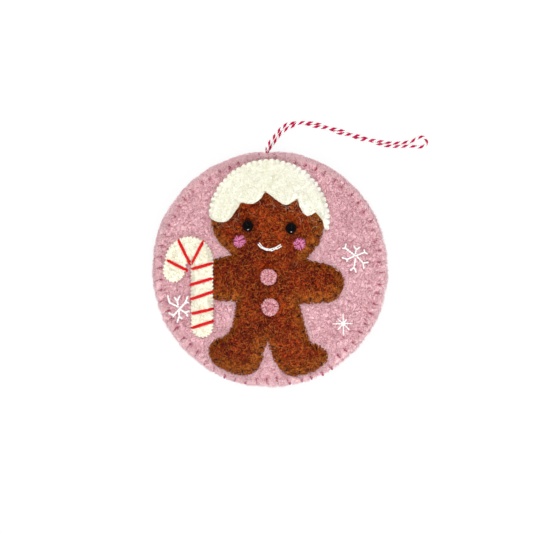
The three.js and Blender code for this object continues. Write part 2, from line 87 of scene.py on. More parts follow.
def put(name, data):
    """Puts a mesh, a curve, a lamp or the camera into the scene."""
    added = bpy.data.objects.new(name, data)
    scene.collection.objects.link(added)
    return added


scene.view_settings.view_transform = "Standard"

PICTURE_WIDTH = 227.2 * MM
PICTURE_MIDDLE = (-1.53 * MM, 1.21 * MM)
RIM_HEIGHT = 4.5 * MM
LENS, SENSOR = 85, 36
camera = put("camera", bpy.data.cameras.new("camera"))
camera.data.lens = LENS
camera.data.sensor_width = SENSOR
camera.location = (*PICTURE_MIDDLE, RIM_HEIGHT + PICTURE_WIDTH * LENS / SENSOR)
scene.camera = camera

TABLE_REACH = 2
TABLE_DROP = 0.1 * MM
table_top = bpy.data.meshes.new("table_top")
bm = bmesh.new()
bmesh.ops.create_grid(bm, x_segments=1, y_segments=1, size=TABLE_REACH)
bmesh.ops.translate(bm, verts=bm.verts, vec=(0, 0, -TABLE_DROP))
bm.to_mesh(table_top)
bm.free()
put("table", table_top)

# Matt white card: plain white to the camera and in what mirrors it, apart from the shadow.
white_card = bpy.data.materials.new("white_card")
tree = empty_tree(white_card)
ray = node(tree, "ShaderNodeLightPath").outputs
mirrored = node(tree, "ShaderNodeMath", {0: ray["Is Glossy Ray"], 1: ray["Is Transmission Ray"]},
                operation="MAXIMUM")
seen = node(tree, "ShaderNodeMath", {0: ray["Is Camera Ray"], 1: mirrored.outputs[0]}, operation="MAXIMUM")
card = node(tree, "ShaderNodeBsdfDiffuse", {"Color": linear("f4f4f4")})
glow = node(tree, "ShaderNodeEmission", {"Color": (1, 1, 1, 1), "Strength": 1})
bright = node(tree, "ShaderNodeMixShader", {0: 0.88, 1: card.outputs[0], 2: glow.outputs[0]})
mixed = node(tree, "ShaderNodeMixShader", {0: seen.outputs[0], 1: card.outputs[0], 2: bright.outputs[0]})
node(tree, "ShaderNodeOutputMaterial", {"Surface": mixed.outputs[0]})
table_top.materials.append(white_card)

scene.world = bpy.data.worlds.new("white_room")
tree = empty_tree(scene.world)
fill = node(tree, "ShaderNodeBackground", {"Color": (1, 1, 1, 1), "Strength": 0.6})
node(tree, "ShaderNodeOutputWorld", {"Surface": fill.outputs[0]})

LAMPS = (
    ("soft_lamp", (0.14, -0.2, 0.74), 0.6, 1.6),
    ("far_wall", (-0.25, 0.48, 0.6), 0.7, 3.4),
    ("low_window", (0.12, -0.5, 0.4), 0.17, 1.6),
    ("window_pane", (0.06, -0.6, 0.3), 0.22, 14),
)
for name, place, size, power in LAMPS:
    lamp = put(name, bpy.data.lights.new(name, "AREA"))
    lamp.data.size = size
    lamp.data.energy = power
    lamp.location = place
    lamp.visible_glossy = name == "window_pane"
    lamp.visible_diffuse = name != "window_pane"
    lamp.rotation_euler = (-lamp.location).to_track_quat("-Z", "Y").to_euler()


# Hanging loop
# Bakers twine, two red and two white cotton plies laid to the left, folded once: it leaves the seam at the top
# of the disc, lies on the table in two strands that twist twice round each other, and comes back to the same
# place.
TWINE = 1.25 * MM
TWINE_LAY = 3.6 * MM
TWINE_STEP = 0.35 * MM
RED_FULLNESS = 1.1
LOOP_ROUTE = [
    (-0.7, 51, 2.7), (0.4, 52.5, 2.45), (1.51, 54.11, 2.05), (2.91, 55.94, 1.6), (4.3, 57.98, 1.2),
    (6.45, 59.85, 0.9), (8.85, 61.15, 0.8), (13.65, 62.85, 1.9), (20.15, 62.45, 0.7), (25.45, 60.45, 0.7),
    (29.95, 58.35, 0.7), (34.65, 57.65, 1.9), (38.85, 57.05, 0.7), (42.65, 55.45, 0.7), (47.95, 53.45, 0.7),
    (53.15, 52.75, 0.7), (59.85, 52.9, 0.7), (63.25, 52.55, 0.7), (65.45, 52.65, 0.7), (67, 53.8, 0.7),
    (67.1, 55.55, 0.7), (65.8, 56.7, 0.7), (63.85, 56.6, 0.7), (60.25, 54.85, 0.7), (53.15, 54.15, 0.7),
    (48.35, 54.75, 0.7), (42.65, 55.45, 1.9), (38.45, 55.85, 0.7), (34.65, 57.65, 0.7), (30.35, 59.65, 0.7),
    (25.45, 60.45, 1.9), (19.75, 61.25, 0.7), (13.65, 62.85, 0.7), (8.25, 62.55, 0.9), (5.45, 61.05, 1.6),
    (3.36, 58.84, 2.4), (1.58, 56.48, 3.2), (0.09, 54.54, 3.8), (-0.91, 52.72, 4.3), (-1.5, 51, 4.4),
]


def run_of(line):
    """How far along a line each of its points lies."""
    return np.r_[0, np.cumsum(np.linalg.norm(np.diff(line, axis=0), axis=1))]


def smooth_line(points, step):
    """A smooth line through the points, in even steps."""
    points = np.array(points, float)
    ends = np.vstack([2 * points[0] - points[1], points, 2 * points[-1] - points[-2]])
    p, q, r, s = ends[:-3], ends[1:-2], ends[2:-1], ends[3:]
    t = np.linspace(0, 1, 16, endpoint=False)[:, None, None]
    fine = 0.5 * (2 * q + (r - p) * t + (2 * p - 5 * q + 4 * r - s) * t ** 2 + (3 * q - p - 3 * r + s) * t ** 3)
    fine = np.vstack([fine.transpose(1, 0, 2).reshape(-1, 3), points[-1:]])
    along = run_of(fine)
    stops = np.linspace(0, along[-1], max(2, round(along[-1] / step)) + 1)
    return np.stack([np.interp(stops, along, fine[:, i]) for i in range(3)], 1)


def twisted(line, diameter, plies, lay):
    """The middle lines of plies that wind round a line to the left, touching, and the radius of each."""
    pinch = math.sin(math.pi / plies)
    out = diameter / 2 / (1 + pinch)
    ways = np.gradient(line, axis=0)
    ways /= np.linalg.norm(ways, axis=1)[:, None]
    side = np.cross(ways[0], (0, 0, 1) if abs(ways[0][2]) < 0.9 else (1, 0, 0))
    sides = []
    for way in ways:
        side = side - way * side.dot(way)
        side = side / np.linalg.norm(side)
        sides.append(side)
    sides = np.array(sides)
    ups = np.cross(ways, sides)
    wound = []
    for k in range(plies):
        turn = (2 * math.pi * (k / plies - run_of(line) / lay))[:, None]
        wound.append(line + out * (np.cos(turn) * sides + np.sin(turn) * ups))
    return wound, out * pinch


def taken_mesh(holder):
    """The mesh that an object's curve or modifiers give. The object is removed."""
    graph = bpy.context.evaluated_depsgraph_get()
    mesh = bpy.data.meshes.new_from_object(holder.evaluated_get(graph), depsgraph=graph)
    bpy.data.objects.remove(holder)
    return mesh


def swept(name, lines, **section):
    """A mesh of closed tubes along lines, with the section that these curve settings give."""
    curve = bpy.data.curves.new(name, "CURVE")
    curve.dimensions = "3D"
    curve.use_fill_caps = True
    for setting, value in section.items():
        setattr(curve, setting, value)
    for line in lines:
        spline = curve.splines.new("POLY")
        spline.points.add(len(line) - 1)
        spline.points.foreach_set("co", np.c_[line, np.ones(len(line))].ravel())
    mesh = taken_mesh(put(name, curve))
    bpy.data.curves.remove(curve)
    return mesh


def tubes(name, lines, radius, sides=8):
    """A mesh of closed round tubes along lines."""
    return swept(name, lines, bevel_depth=radius, bevel_resolution=sides // 2 - 2)


def joined(first, second):
    """The first mesh with the second added to it in the second material."""
    bm = bmesh.new()
    bm.from_mesh(first)
    before = len(bm.faces)
    bm.from_mesh(second)
    bm.faces.ensure_lookup_table()
    for face in bm.faces[before:]:
        face.material_index = 1
    bm.to_mesh(first)
    bm.free()
    bpy.data.meshes.remove(second)
    return first


def shown(name, mesh, *materials):
    """Puts a finished mesh into the scene with its materials."""
    for material in materials:
        mesh.materials.append(material)
    mesh.shade_smooth()
    return put(name, mesh)


def cotton(name, deep, light):
    """Spun cotton thread: matt, with fibres that catch the light in fine flecks.

    Real cotton fibre is 0.02 mm thick. Its flecks are drawn 0.35 mm wide, as coarse as they need to show.
    """
    material = bpy.data.materials.new(name)
    tree = empty_tree(material)
    place = node(tree, "ShaderNodeTexCoord").outputs["Object"]
    fleck = node(tree, "ShaderNodeTexNoise", {
        "Vector": place, "Scale": 1 / (0.35 * MM), "Detail": 3,
    }).outputs[0]
    shade = node(tree, "ShaderNodeValToRGB", {0: fleck}, [(0.3, deep), (0.65, light)])
    rise = node(tree, "ShaderNodeBump", {"Height": fleck, "Strength": 0.5, "Distance": 0.08 * MM})
    thread = node(tree, "ShaderNodeBsdfPrincipled", {
        "Base Color": shade.outputs[0], "Roughness": 0.8, "Normal": rise.outputs[0], "Sheen Weight": 0.15,
        "Sheen Tint": linear(light), "IOR": 1.53, "Specular IOR Level": 0.15,
    })
    node(tree, "ShaderNodeOutputMaterial", {"Surface": thread.outputs[0]})
    return material


def twine(name, lines, diameter, red_fullness=1):
    """Lengths of twine along lines: two red plies and two white ones, wound together."""
    red, white = [], []
    for line in lines:
        plies, radius = twisted(line, diameter, 4, TWINE_LAY)
        red += plies[:2]
        white += plies[2:]
    mesh = joined(tubes(name, red, radius * red_fullness), tubes("white_plies", white, radius))
    return shown(name, mesh, red_cotton, white_cotton)


red_cotton = cotton("red_twine_cotton", "96002e", "cc0650")
white_cotton = cotton("white_twine_cotton", "e6e2e0", "fdfbfa")
loop_line = smooth_line(np.array(LOOP_ROUTE) * MM, TWINE_STEP)
loop = twine("twine_loop_plies", [loop_line], TWINE, RED_FULLNESS)
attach(loop, "hang_loop")
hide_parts("twine_loop")


# Back disc
# Pink wool felt, pressed in a sheet and cut round. It lies flat on the table and curls up to the rim, where
# the whip stitches draw it in. The sizes of the discs and of their stitches are in millimetres.
DISC_RADIUS = 50.0
FELT = 2.0
BACK_CURL = 12.0
BACK_LIFT = 1.4
LOFT = 3.6
SEAM = 46.0
GAP = 0.3
DISC_STEPS = 512
STITCHES = 64
STITCH_CLEARANCE = 0.6
LOOP_OPENING = 6.0
LOOP_EXIT = (-1, 51)
LOWER_LEFT, RIGHT = 235, -15
rng = np.random.default_rng(7)

exit_angle = math.atan2(LOOP_EXIT[1], LOOP_EXIT[0])
stitch_pitch = (2 * math.pi - LOOP_OPENING / SEAM) / (STITCHES - 1)
stitch_angle = exit_angle + LOOP_OPENING / SEAM / 2 + stitch_pitch * np.arange(STITCHES)
stitch_angle += stitch_pitch * rng.uniform(-0.13, 0.13, STITCHES)


def ease(x, low, high):
    """A soft step from 0 at low to 1 at high."""
    t = np.clip((x - low) / (high - low), 0, 1)
    return t * t * (3 - 2 * t)


def back_under(r):
    """The height of the back disc's underside."""
    return BACK_LIFT * ease(r, DISC_RADIUS - BACK_CURL, DISC_RADIUS)


def front_top(r):
    """The height of the front disc's upper side."""
    return back_under(r) + 2 * FELT + GAP + LOFT * (1 - np.minimum(1, r / SEAM) ** 4)


def places_of(mesh, kind="co"):
    """The places of a mesh's points, or their normals, one row each."""
    places = np.empty(len(mesh.vertices) * 3)
    mesh.vertices.foreach_get(kind, places)
    return places.reshape(-1, 3)


def move_to(mesh, places):
    """Moves a mesh's points to new places."""
    mesh.vertices.foreach_set("co", places.ravel())
    mesh.update()


def half_turn(angle):
    """The same angle between minus and plus half a turn."""
    return (angle + math.pi) % (2 * math.pi) - math.pi


def stitch_hole(angle):
    """How far out a rim stitch goes through the felt: outside whatever is sewn near the edge."""
    sewn = 0
    for name in ("gingerbread_figure", "icing_cap", "candy_cane"):
        x, y, _ = places_of(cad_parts[name].data).T / MM
        turn = np.abs(half_turn(np.arctan2(y, x) - angle))
        sewn = max(sewn, np.max(np.hypot(x, y)[turn < stitch_pitch], initial=0))
    return max(SEAM, sewn + STITCH_CLEARANCE)


holes = np.array([stitch_hole(angle) for angle in stitch_angle]) + rng.uniform(-0.2, 0.5, STITCHES)


def press_mark(mesh, amounts, kind="painted_shade"):
    """Notes at each point of a felt piece, from 0 to 1, how much painted shade or painted light it gets."""
    layer = mesh.attributes.get(kind) or mesh.attributes.new(kind, "FLOAT", "POINT")
    before = np.empty(len(mesh.vertices))
    layer.data.foreach_get("value", before)
    layer.data.foreach_set("value", np.maximum(before, amounts))


def turned_disc(profile, top):
    """A felt disc: a grid wrapped round the middle along the profile, joined up, with its rim drawn in."""
    bm = bmesh.new()
    bmesh.ops.create_grid(bm, x_segments=DISC_STEPS, y_segments=len(profile) - 1, size=1)
    for k, v in enumerate(bm.verts):
        r, z = profile[k // (DISC_STEPS + 1)]
        turn = 2 * math.pi * (k % (DISC_STEPS + 1)) / DISC_STEPS
        v.co = (r * math.cos(turn), r * math.sin(turn), z)
    bmesh.ops.remove_doubles(bm, verts=bm.verts, dist=1e-4)
    bmesh.ops.recalc_face_normals(bm, faces=bm.faces)
    mesh = bpy.data.meshes.new("felt_disc")
    bm.to_mesh(mesh)
    bm.free()
    places, painted_shade = draw_in(places_of(mesh), top)
    move_to(mesh, places * MM)
    # Painted shade in the rim stitch marks, and painted light on the band along the rim, strong on the front.
    press_mark(mesh, painted_shade)
    press_mark(mesh, (0.95 if top else 0.3) * ease(np.hypot(places[:, 0], places[:, 1]), 46.2, 49), "painted_light")
    return mesh


def lumps(places, size, seed):
    """Soft unevenness, from -1 to 1, of the given size in millimetres."""
    return np.array([noise.noise(Vector(p) / size + Vector((seed, 0, 0))) for p in places])


def stitch_nearness(places, slant, width):
    """How near each point is to the line of a rim stitch, from 0 to 1, and that stitch's number."""
    r = np.hypot(places[:, 0], places[:, 1])
    angle = np.arctan2(places[:, 1], places[:, 0])
    turn = half_turn(angle[:, None] - stitch_angle - slant * stitch_pitch)
    nearest = np.abs(turn).argmin(1)
    across = np.take_along_axis(turn, nearest[:, None], 1)[:, 0] * r
    return np.exp(-(across / width) ** 2), nearest


def stitch_depth(beyond):
    """How deep a rim stitch has sunk into the felt, by the distance beyond its hole."""
    return 0.5 * np.exp(-((beyond - 0.5) / 1.1) ** 2) + 0.04 * ease(beyond, -0.6, 0.6)


def bare(angle, side):
    """How far the nap is rubbed off, by the angle round the rim, on the side that lies at some degrees."""
    return ease(np.cos(angle - math.radians(side)), 0.2, 0.8)


def draw_in(places, top):
    """The rim as the stitches draw it in: a deep mark at each hole that runs out over the edge."""
    places = places.copy()
    slant = 0.1 if top else 0.8
    r = np.hypot(places[:, 0], places[:, 1])
    near, k = stitch_nearness(places, slant, 0.55)
    wide, _ = stitch_nearness(places, slant, 1.7)
    at_rim = ease(r, 47.5, 50)
    surface = front_top(r) if top else back_under(r)
    skin = np.exp(-((places[:, 2] - surface) / 0.8) ** 2)
    sign = -1 if top else 1
    places[:, 2] += sign * skin * near * stitch_depth(r - holes[k])
    places[:, 2] += sign * skin * wide * 0.05 * ease(r, 40, 47)
    wobble = lumps(places * (1, 1, 0), 7, 3 if top else 9)
    angle = np.arctan2(places[:, 1], places[:, 0])
    at_exit = np.exp(-((angle - exit_angle) * r / 2.4) ** 2)
    notch = (0.15 + 0.3 * bare(angle, LOWER_LEFT)) * near + 0.9 * at_exit
    out = at_rim * (0.45 * wobble - 0.45 - notch)
    places[:, :2] *= (1 + out / np.maximum(r, 1))[:, None]
    places[:, 2] += skin * (0.1 * lumps(places, 6, 21) + 0.03 * lumps(places, 2.2, 5) + (0 if top else 0.25))
    # How much painted shade each stitch mark gets, darkest just past its hole.
    mark, _ = stitch_nearness(places, 0.07 if top else 0.8, 0.65)
    return places, skin * mark * np.exp(-((r - holes[k] - 0.5) / 0.95) ** 2)


def wool_felt(name, sunk, deep, middle, light, blotch, spread=0.14, painted_light=None):
    """Pressed wool felt: matt, mottled where fibres of several shades cross. Where marks give an amount,
    painted shade darkens it towards the sunk tint, and on some felt painted light pales it towards a lighter
    tint.

    Real wool fibre is 0.03 mm thick. It is drawn about 0.4 mm thick, as coarse as it needs to show.
    """
    material = bpy.data.materials.new(name)
    tree = empty_tree(material)
    place = node(tree, "ShaderNodeTexCoord").outputs["Object"]
    curls = node(tree, "ShaderNodeTexNoise", {
        "Vector": place, "Scale": 1 / (0.65 * MM), "Detail": 1.5, "Roughness": 0.6, "Distortion": 1,
    }).outputs[0]
    grain = node(tree, "ShaderNodeTexNoise", {
        "Vector": place, "Scale": 1 / (0.42 * MM), "Detail": 1,
    }).outputs[0]
    cloud = node(tree, "ShaderNodeTexNoise", {
        "Vector": place, "Scale": 1 / (13 * MM), "Detail": 2,
    }).outputs[0]
    fibre = node(tree, "ShaderNodeMix", {0: 0.4, 2: curls, 3: grain}).outputs[0]
    drift = node(tree, "ShaderNodeMath", {0: cloud, 1: blotch, 2: -blotch / 2}, operation="MULTIPLY_ADD")
    shade = node(tree, "ShaderNodeMath", {0: fibre, 1: drift.outputs[0]}).outputs[0]
    colour = node(tree, "ShaderNodeValToRGB", {0: shade}, [
        (0.5 - spread, deep), (0.5 + spread, light), (0.5, middle),
    ]).outputs[0]
    # Painted light pales the felt towards one tint and painted shade darkens it towards the sunk tint, as far
    # as the marks say.
    for mark, tint in (("painted_light", painted_light), ("painted_shade", sunk)):
        if tint:
            marked = node(tree, "ShaderNodeAttribute", attribute_name=mark).outputs["Fac"]
            colour = node(tree, "ShaderNodeMix", {0: marked, 6: colour, 7: linear(tint)},
                          data_type="RGBA").outputs[2]
    rise = node(tree, "ShaderNodeBump", {"Height": fibre, "Strength": 0.6, "Distance": 0.28 * MM})
    felt = node(tree, "ShaderNodeBsdfPrincipled", {
        "Base Color": colour, "Roughness": 0.95, "Normal": rise.outputs[0], "Sheen Weight": 0.15,
        "Sheen Roughness": 0.6, "Sheen Tint": linear(light), "IOR": 1.5, "Specular IOR Level": 0.08,
    })
    node(tree, "ShaderNodeOutputMaterial", {"Surface": felt.outputs[0]})
    return material


def wool_fibre(name, *shades):
    """Loose wool fibres on felt, matt, each one of a few close shades."""
    material = bpy.data.materials.new(name)
    tree = empty_tree(material)
    lane = node(tree, "ShaderNodeUVMap", uv_map="OFBake").outputs[0]
    across = node(tree, "ShaderNodeSeparateXYZ", {0: lane}).outputs[0]
    places = np.linspace(0.05, 0.95, len(shades))
    order = [0, len(shades) - 1, *range(1, len(shades) - 1)]
    colour = node(tree, "ShaderNodeValToRGB", {0: across}, [(places[i], shades[i]) for i in order])
    fibre = node(tree, "ShaderNodeBsdfPrincipled", {
        "Base Color": colour.outputs[0], "Roughness": 0.9, "IOR": 1.55, "Specular IOR Level": 0.08,
    })
    node(tree, "ShaderNodeOutputMaterial", {"Surface": fibre.outputs[0]})
    return material


FIBRE_LANES = 40
FIBRE_STRETCHES = 3
FIBRE_SIDES = 3


def fibres(name, felt, wool, count, length, width, lift, seed, curl=0.6, where=None):
    """A nap of curly fibres that lie over a felt piece, drawn wider than real ones so that they show.

    Each has three stretches of three sides. The map gives each fibre one of the shades' lanes.
    """
    rng = np.random.default_rng(seed)
    mesh = felt.data
    mesh.calc_loop_triangles()
    places = places_of(mesh)
    corners = np.empty(len(mesh.loop_triangles) * 3, np.int32)
    mesh.loop_triangles.foreach_get("vertices", corners)
    a, b, c = (places[corners.reshape(-1, 3)[:, i]] for i in range(3))
    area = np.linalg.norm(np.cross(b - a, c - a), axis=1)
    if where is not None:
        area = area * where((a + b + c) / 3, np.cross(b - a, c - a) / area[:, None])
    picked = rng.choice(len(area), count, p=area / area.sum())
    u, v = rng.random((2, count, 1))
    u, v = np.where(u + v > 1, 1 - u, u), np.where(u + v > 1, 1 - v, v)
    starts = a[picked] + u * (b - a)[picked] + v * (c - a)[picked]
    tree = BVHTree.FromObject(felt, bpy.context.evaluated_depsgraph_get())
    lines = []
    for start in starts:
        point, normal, _, _ = tree.find_nearest(start)
        way = Vector(rng.normal(size=3)).cross(normal).normalized()
        stride = length * rng.uniform(0.5, 1.3) / FIBRE_STRETCHES
        bend = rng.normal(0, curl)
        line = [point - normal * 0.06 * MM]
        for k in range(FIBRE_STRETCHES):
            way = (way + way.cross(normal) * (bend + rng.normal(0, curl / 2))).normalized()
            near, slope, _, _ = tree.find_nearest(point + way * stride)
            last = k == FIBRE_STRETCHES - 1
            rise = lift * rng.uniform(0.15, 1) * (rng.uniform(-0.2, 1.2) if last else 1)
            point, normal = near, slope
            line.append(near + slope * rise)
        lines.append(np.array(line))
    section = bpy.data.curves.new("fibre_section", "CURVE")
    section.dimensions = "2D"
    ring = section.splines.new("POLY")
    ring.points.add(FIBRE_SIDES - 1)
    ring.use_cyclic_u = True
    for point, turn in zip(ring.points, (90, 330, 210)):
        point.co = (width / 2 * math.cos(math.radians(turn)), width / 2 * math.sin(math.radians(turn)), 0, 1)
    profile = put("fibre_section", section)
    made = swept(name, lines, bevel_mode="OBJECT", bevel_object=profile)
    bpy.data.objects.remove(profile)
    bpy.data.curves.remove(section)
    corner = np.empty(len(made.loops), np.int32)
    made.loops.foreach_get("vertex_index", corner)
    each = len(made.vertices) // count
    lane = rng.integers(0, FIBRE_LANES, count)[corner // each]
    side, stretch = corner % each % FIBRE_SIDES, corner % each // FIBRE_SIDES
    uv = np.stack([(lane + 0.2 + 0.2 * side) / FIBRE_LANES, 0.05 + 0.9 * stretch / FIBRE_STRETCHES], 1)
    for layer in list(made.uv_layers):
        made.uv_layers.remove(layer)
    made.uv_layers.new(name="OFBake").data.foreach_set("uv", uv.ravel())
    return shown(name, made, wool)


# The first tint is painted shade in the stitch marks, the pricks and the crook's slit; the pale last tint is
# painted light along the rim.
pink_felt = wool_felt("pink_wool_felt", sunk="962450", deep="a0646f", middle="d5a5ad", light="f6d4d8",
                      blotch=0.1, painted_light="fcdce0")
pink_wool = wool_fibre("pink_wool_fibre", "ac6a76", "d29aa2", "e8bcc2", "f8dade")

rim_rs = np.r_[0, np.arange(1.61, 40, 1.6), np.arange(40, 47.4, 0.6), np.arange(47.5, 49.3, 0.4)]
back_profile = [(r, back_under(r)) for r in rim_rs]
back_profile += [(49.55, back_under(49.6) + 0.1), (49.85, 1.75), (50.0, 2.15), (50.0, 2.6), (49.9, 3.05),
                 (49.6, 3.35)]
back_profile += [(r, back_under(r) + FELT) for r in rim_rs[::-2]]
back = shown("back_felt", turned_disc(back_profile, False), pink_felt)
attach(back, "ornament")
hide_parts("back_disc")


def outside_back(places, normals):
    return (normals[:, 2] < 0.2) * 1.0


back_nap = fibres("back_felt_nap", back, pink_wool, count=7000, length=3 * MM, width=0.14 * MM,
                  lift=0.14 * MM, seed=11, where=outside_back)
for v in back_nap.data.vertices:
    v.co.z = max(v.co.z, 0)
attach(back_nap, "ornament")


# Wadding
# A thin pad of carded white wool between the discs, which crowns the front. It is parted where the twine's
# tails and knot lie.
def merged(node_name):
    """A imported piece's loose triangles, joined up."""
    bm = bmesh.new()
    bm.from_mesh(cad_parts[node_name].data)
    bmesh.ops.remove_doubles(bm, verts=bm.verts, dist=0.001 * MM)
    return bm


def soft_copy(node_name, voxel, rounds):
    """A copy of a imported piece, remeshed in small even cells and relaxed so that its edges round off."""
    mesh = bpy.data.meshes.new(node_name + "_copy")
    bm = merged(node_name)
    bm.to_mesh(mesh)
    bm.free()
    holder = put(node_name + "_copy", mesh)
    cells = holder.modifiers.new("cells", "REMESH")
    cells.mode = "VOXEL"
    cells.voxel_size = voxel
    relax = holder.modifiers.new("relax", "SMOOTH")
    relax.factor = 0.5
    relax.iterations = rounds
    made = taken_mesh(holder)
    made.materials.clear()
    bpy.data.meshes.remove(mesh)
    return made


white_wool = wool_felt("carded_white_wool", sunk="c9c4b8", deep="d9d4c8", middle="efece4", light="fbfaf6",
                       blotch=0.3)
wadding = shown("wool_wadding", soft_copy("wadding", voxel=0.8 * MM, rounds=4), white_wool)
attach(wadding, "ornament")
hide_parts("wadding")


# Knot inside
# The loop's two tails run side by side through the seam and are tied in one overhand knot in the wadding,
# where the twine is pressed thinner.
KNOT = (-1.0, 33.0, 3.5)
KNOT_TWINE = 0.8 * TWINE
SEAM_HEIGHT = 3.55
tails = []
for side, end in ((1, LOOP_ROUTE[0]), (-1, LOOP_ROUTE[-1])):
    tail = [end] + [(KNOT[0] + apart * side, y, z) for apart, y, z in (
        (0.5, 49, SEAM_HEIGHT + (end[2] - SEAM_HEIGHT) * 0.6), (0.85, 46, SEAM_HEIGHT), (0.85, 40, KNOT[2]),
        (0.9, 35.4, KNOT[2]), (0.9, 32, KNOT[2]), (0.85, 28, KNOT[2]))]
    tails.append(smooth_line(np.array(tail) * MM, TWINE_STEP))
turn = np.linspace(0, 4 * math.pi, 40)
wrap = np.array(KNOT) + np.stack([1.55 * np.cos(turn), np.linspace(-1.3, 1.3, 40), 0.62 * np.sin(turn)], 1)
tails.append(smooth_line(wrap * MM, TWINE_STEP))
knot = twine("twine_knot_plies", tails, KNOT_TWINE)
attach(knot, "ornament")
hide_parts("twine_knot")


# Front disc
# The same pink felt, crowned by the wadding and held down by the rim stitches. Its nap is brushed up most at
# the cut edge, and is rubbed off there on the right and at the lower left.
front_rs = np.r_[0, np.arange(1.61, 26, 1.6), np.arange(26, 47.4, 0.5), np.arange(47.5, 49.3, 0.4)]
front_profile = [(r, front_top(r) - FELT) for r in rim_rs[::2]]
front_profile += [(49.6, 3.75), (49.9, 4.05), (50.0, 4.5), (50.0, 4.95), (49.85, 5.35),
                  (49.55, front_top(49.6) - 0.1)]
front_profile += [(r, front_top(r)) for r in front_rs[::-1]]
front = shown("front_felt", turned_disc(front_profile, True), pink_felt)
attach(front, "ornament")
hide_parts("front_disc")


def outside_front(places, normals):
    return (normals[:, 2] > 0.1) * 1.0


def cut_edge(places, normals):
    angle = np.arctan2(places[:, 1], places[:, 0])
    left = 1 - 0.5 * bare(angle, LOWER_LEFT) - 0.6 * bare(angle, RIGHT)
    return (np.hypot(places[:, 0], places[:, 1]) > 48.2 * MM) * (normals[:, 2] > -0.5) * np.maximum(left, 0.2)


# The loose fibres at the cut edge are real, but their pale colour is painted sheen.
painted_light_wool = wool_fibre("pale_pink_wool_fibre", "e0acb4", "f4cad0", "fadbdf", "feebed")
for name, count, where, length, width, lift, wool, seed in (
        ("front_felt_nap", 9500, outside_front, 3 * MM, 0.16 * MM, 0.2 * MM, pink_wool, 21),
        ("front_edge_nap", 7000, cut_edge, 2.2 * MM, 0.12 * MM, 1.0 * MM, painted_light_wool, 22),
        ("front_fine_nap", 9500, outside_front, 2.2 * MM, 0.13 * MM, 0.2 * MM, pink_wool, 23)):
    nap = fibres(name, front, wool, count, length, width, lift, seed, where=where)
    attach(nap, "ornament")


# Rim stitching
# One unbroken strand of deep pink cotton, two plies: up through a hole, over the front, round the edge and
# under the back to the next hole, pulled tight so that it sinks into the felt.
RIM_THREAD = 0.8 * MM
RIM_LAY = 2.4 * MM


def threads(name, lines, radius, material, sides=8):
    """A piece of round threads along lines."""
    return shown(name, tubes(name, lines, radius, sides), material)


rim_points = []
for k in range(STITCHES):
    hole = holes[k]
    after = (k + 1) % STITCHES
    step = (stitch_angle[after] - stitch_angle[k]) % (2 * math.pi)
    dive = 0.3 * (1 - 0.7 * bare(stitch_angle[k], LOWER_LEFT))
    stops = [(0, hole, front_top(hole) - 1.8)]
    for share, r in ((0, hole + 0.3), (0.05, hole + 1.2), (0.1, hole + 2.2)):
        sunk = front_top(r) - stitch_depth(r - hole) + 0.12
        stops.append((share, r, sunk - dive * ease(r - hole, 1, 2.1)))
    stops += [(0.16, 48.8, front_top(48.8) - 0.05 - dive), (0.22, 49.25, 5.0), (0.3, 49.35, 4.2),
              (0.5, 49.35, 2.8), (0.6, 49.2, 1.9), (0.7, 48.5, back_under(48.5) + 0.3),
              (0.85, 47.4, back_under(47.4) + 0.3)]
    if k < STITCHES - 1:
        stops += [(1, holes[after] + 0.3, back_under(holes[after]) + 0.6), (1, holes[after], 3.5)]
    for share, r, z in stops:
        angle = stitch_angle[k] + share * step
        rim_points.append((r * math.cos(angle), r * math.sin(angle), z))
rim_line = smooth_line(np.array(rim_points) * MM, 0.3 * MM)
plies, ply_radius = twisted(rim_line, RIM_THREAD, 2, RIM_LAY)
pink_cotton = cotton("pink_sewing_cotton", "902648", "b64e6c")
rim = threads("rim_stitches", plies, ply_radius, pink_cotton, 6)
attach(rim, "ornament")
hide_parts("rim_stitching")


# Gingerbread figure
# Brown wool felt cut to a figure and whip-stitched down with dark brown thread. Orange and near-black fibres
# run through the brown. Its cut edge gets painted light, strongest where it faces the lamps at the lower
# right, and painted shade darkens the stitch dents.
BROWN_STITCH = ((0.9, -0.5), (1.1, 0.2), (1.6, 0.42), (2.1, 0.2), (2.3, -0.5))


def outline(node_name, step):
    """The top edge of a flat piece as an evenly spaced closed line, and the way out of it at each point."""
    bm = merged(node_name)
    bm.normal_update()
    beyond = {}
    for e in bm.edges:
        tilts = [f.normal.z for f in e.link_faces]
        if len(tilts) == 2 and max(tilts) > 0.7 and abs(min(tilts)) < 0.3:
            for v, w in (e.verts, reversed(e.verts)):
                beyond.setdefault(v, []).append(w)
    start = next(iter(beyond))
    line, last, here = [start.co.copy()], None, start
    while True:
        ahead = [w for w in beyond[here] if w is not last]
        last, here = here, ahead[0]
        if here is start or len(line) > len(beyond):
            break
        line.append(here.co.copy())
    bm.free()
    closed = np.array([*line, line[0]])
    along = run_of(closed)
    count = max(3, round(along[-1] / step))
    stops = np.linspace(0, along[-1], count, endpoint=False)
    even = np.stack([np.interp(stops, along, closed[:, i]) for i in range(3)], 1)
    ways = np.roll(even, -1, 0) - np.roll(even, 1, 0)
    turn = np.sum(even[:, 0] * np.roll(even[:, 1], -1) - np.roll(even[:, 0], -1) * even[:, 1])
    out = np.stack([ways[:, 1], -ways[:, 0]], 1) * (1 if turn > 0 else -1)
    return even, out / np.linalg.norm(out, axis=1)[:, None]


def surface_of(*pieces):
    """A function that gives the height of the topmost of these pieces at a place."""
    graph = bpy.context.evaluated_depsgraph_get()
    trees = [BVHTree.FromObject(piece, graph) for piece in pieces]

    def height(x, y):
        hits = [tree.ray_cast(Vector((x, y, 0.1)), Vector((0, 0, -1)))[0] for tree in trees]
        return max((hit.z for hit in hits if hit), default=0)

    return height


def nearest_on(line):
    """A function that gives the nearest of a line's points, seen from above, and how far it is away."""
    tree = KDTree(len(line))
    for k, (x, y, _) in enumerate(line):
        tree.insert((x, y, 0), k)
    tree.balance()

    def nearest(v):
        return tree.find((v.co.x, v.co.y, 0))[1:]

    return nearest


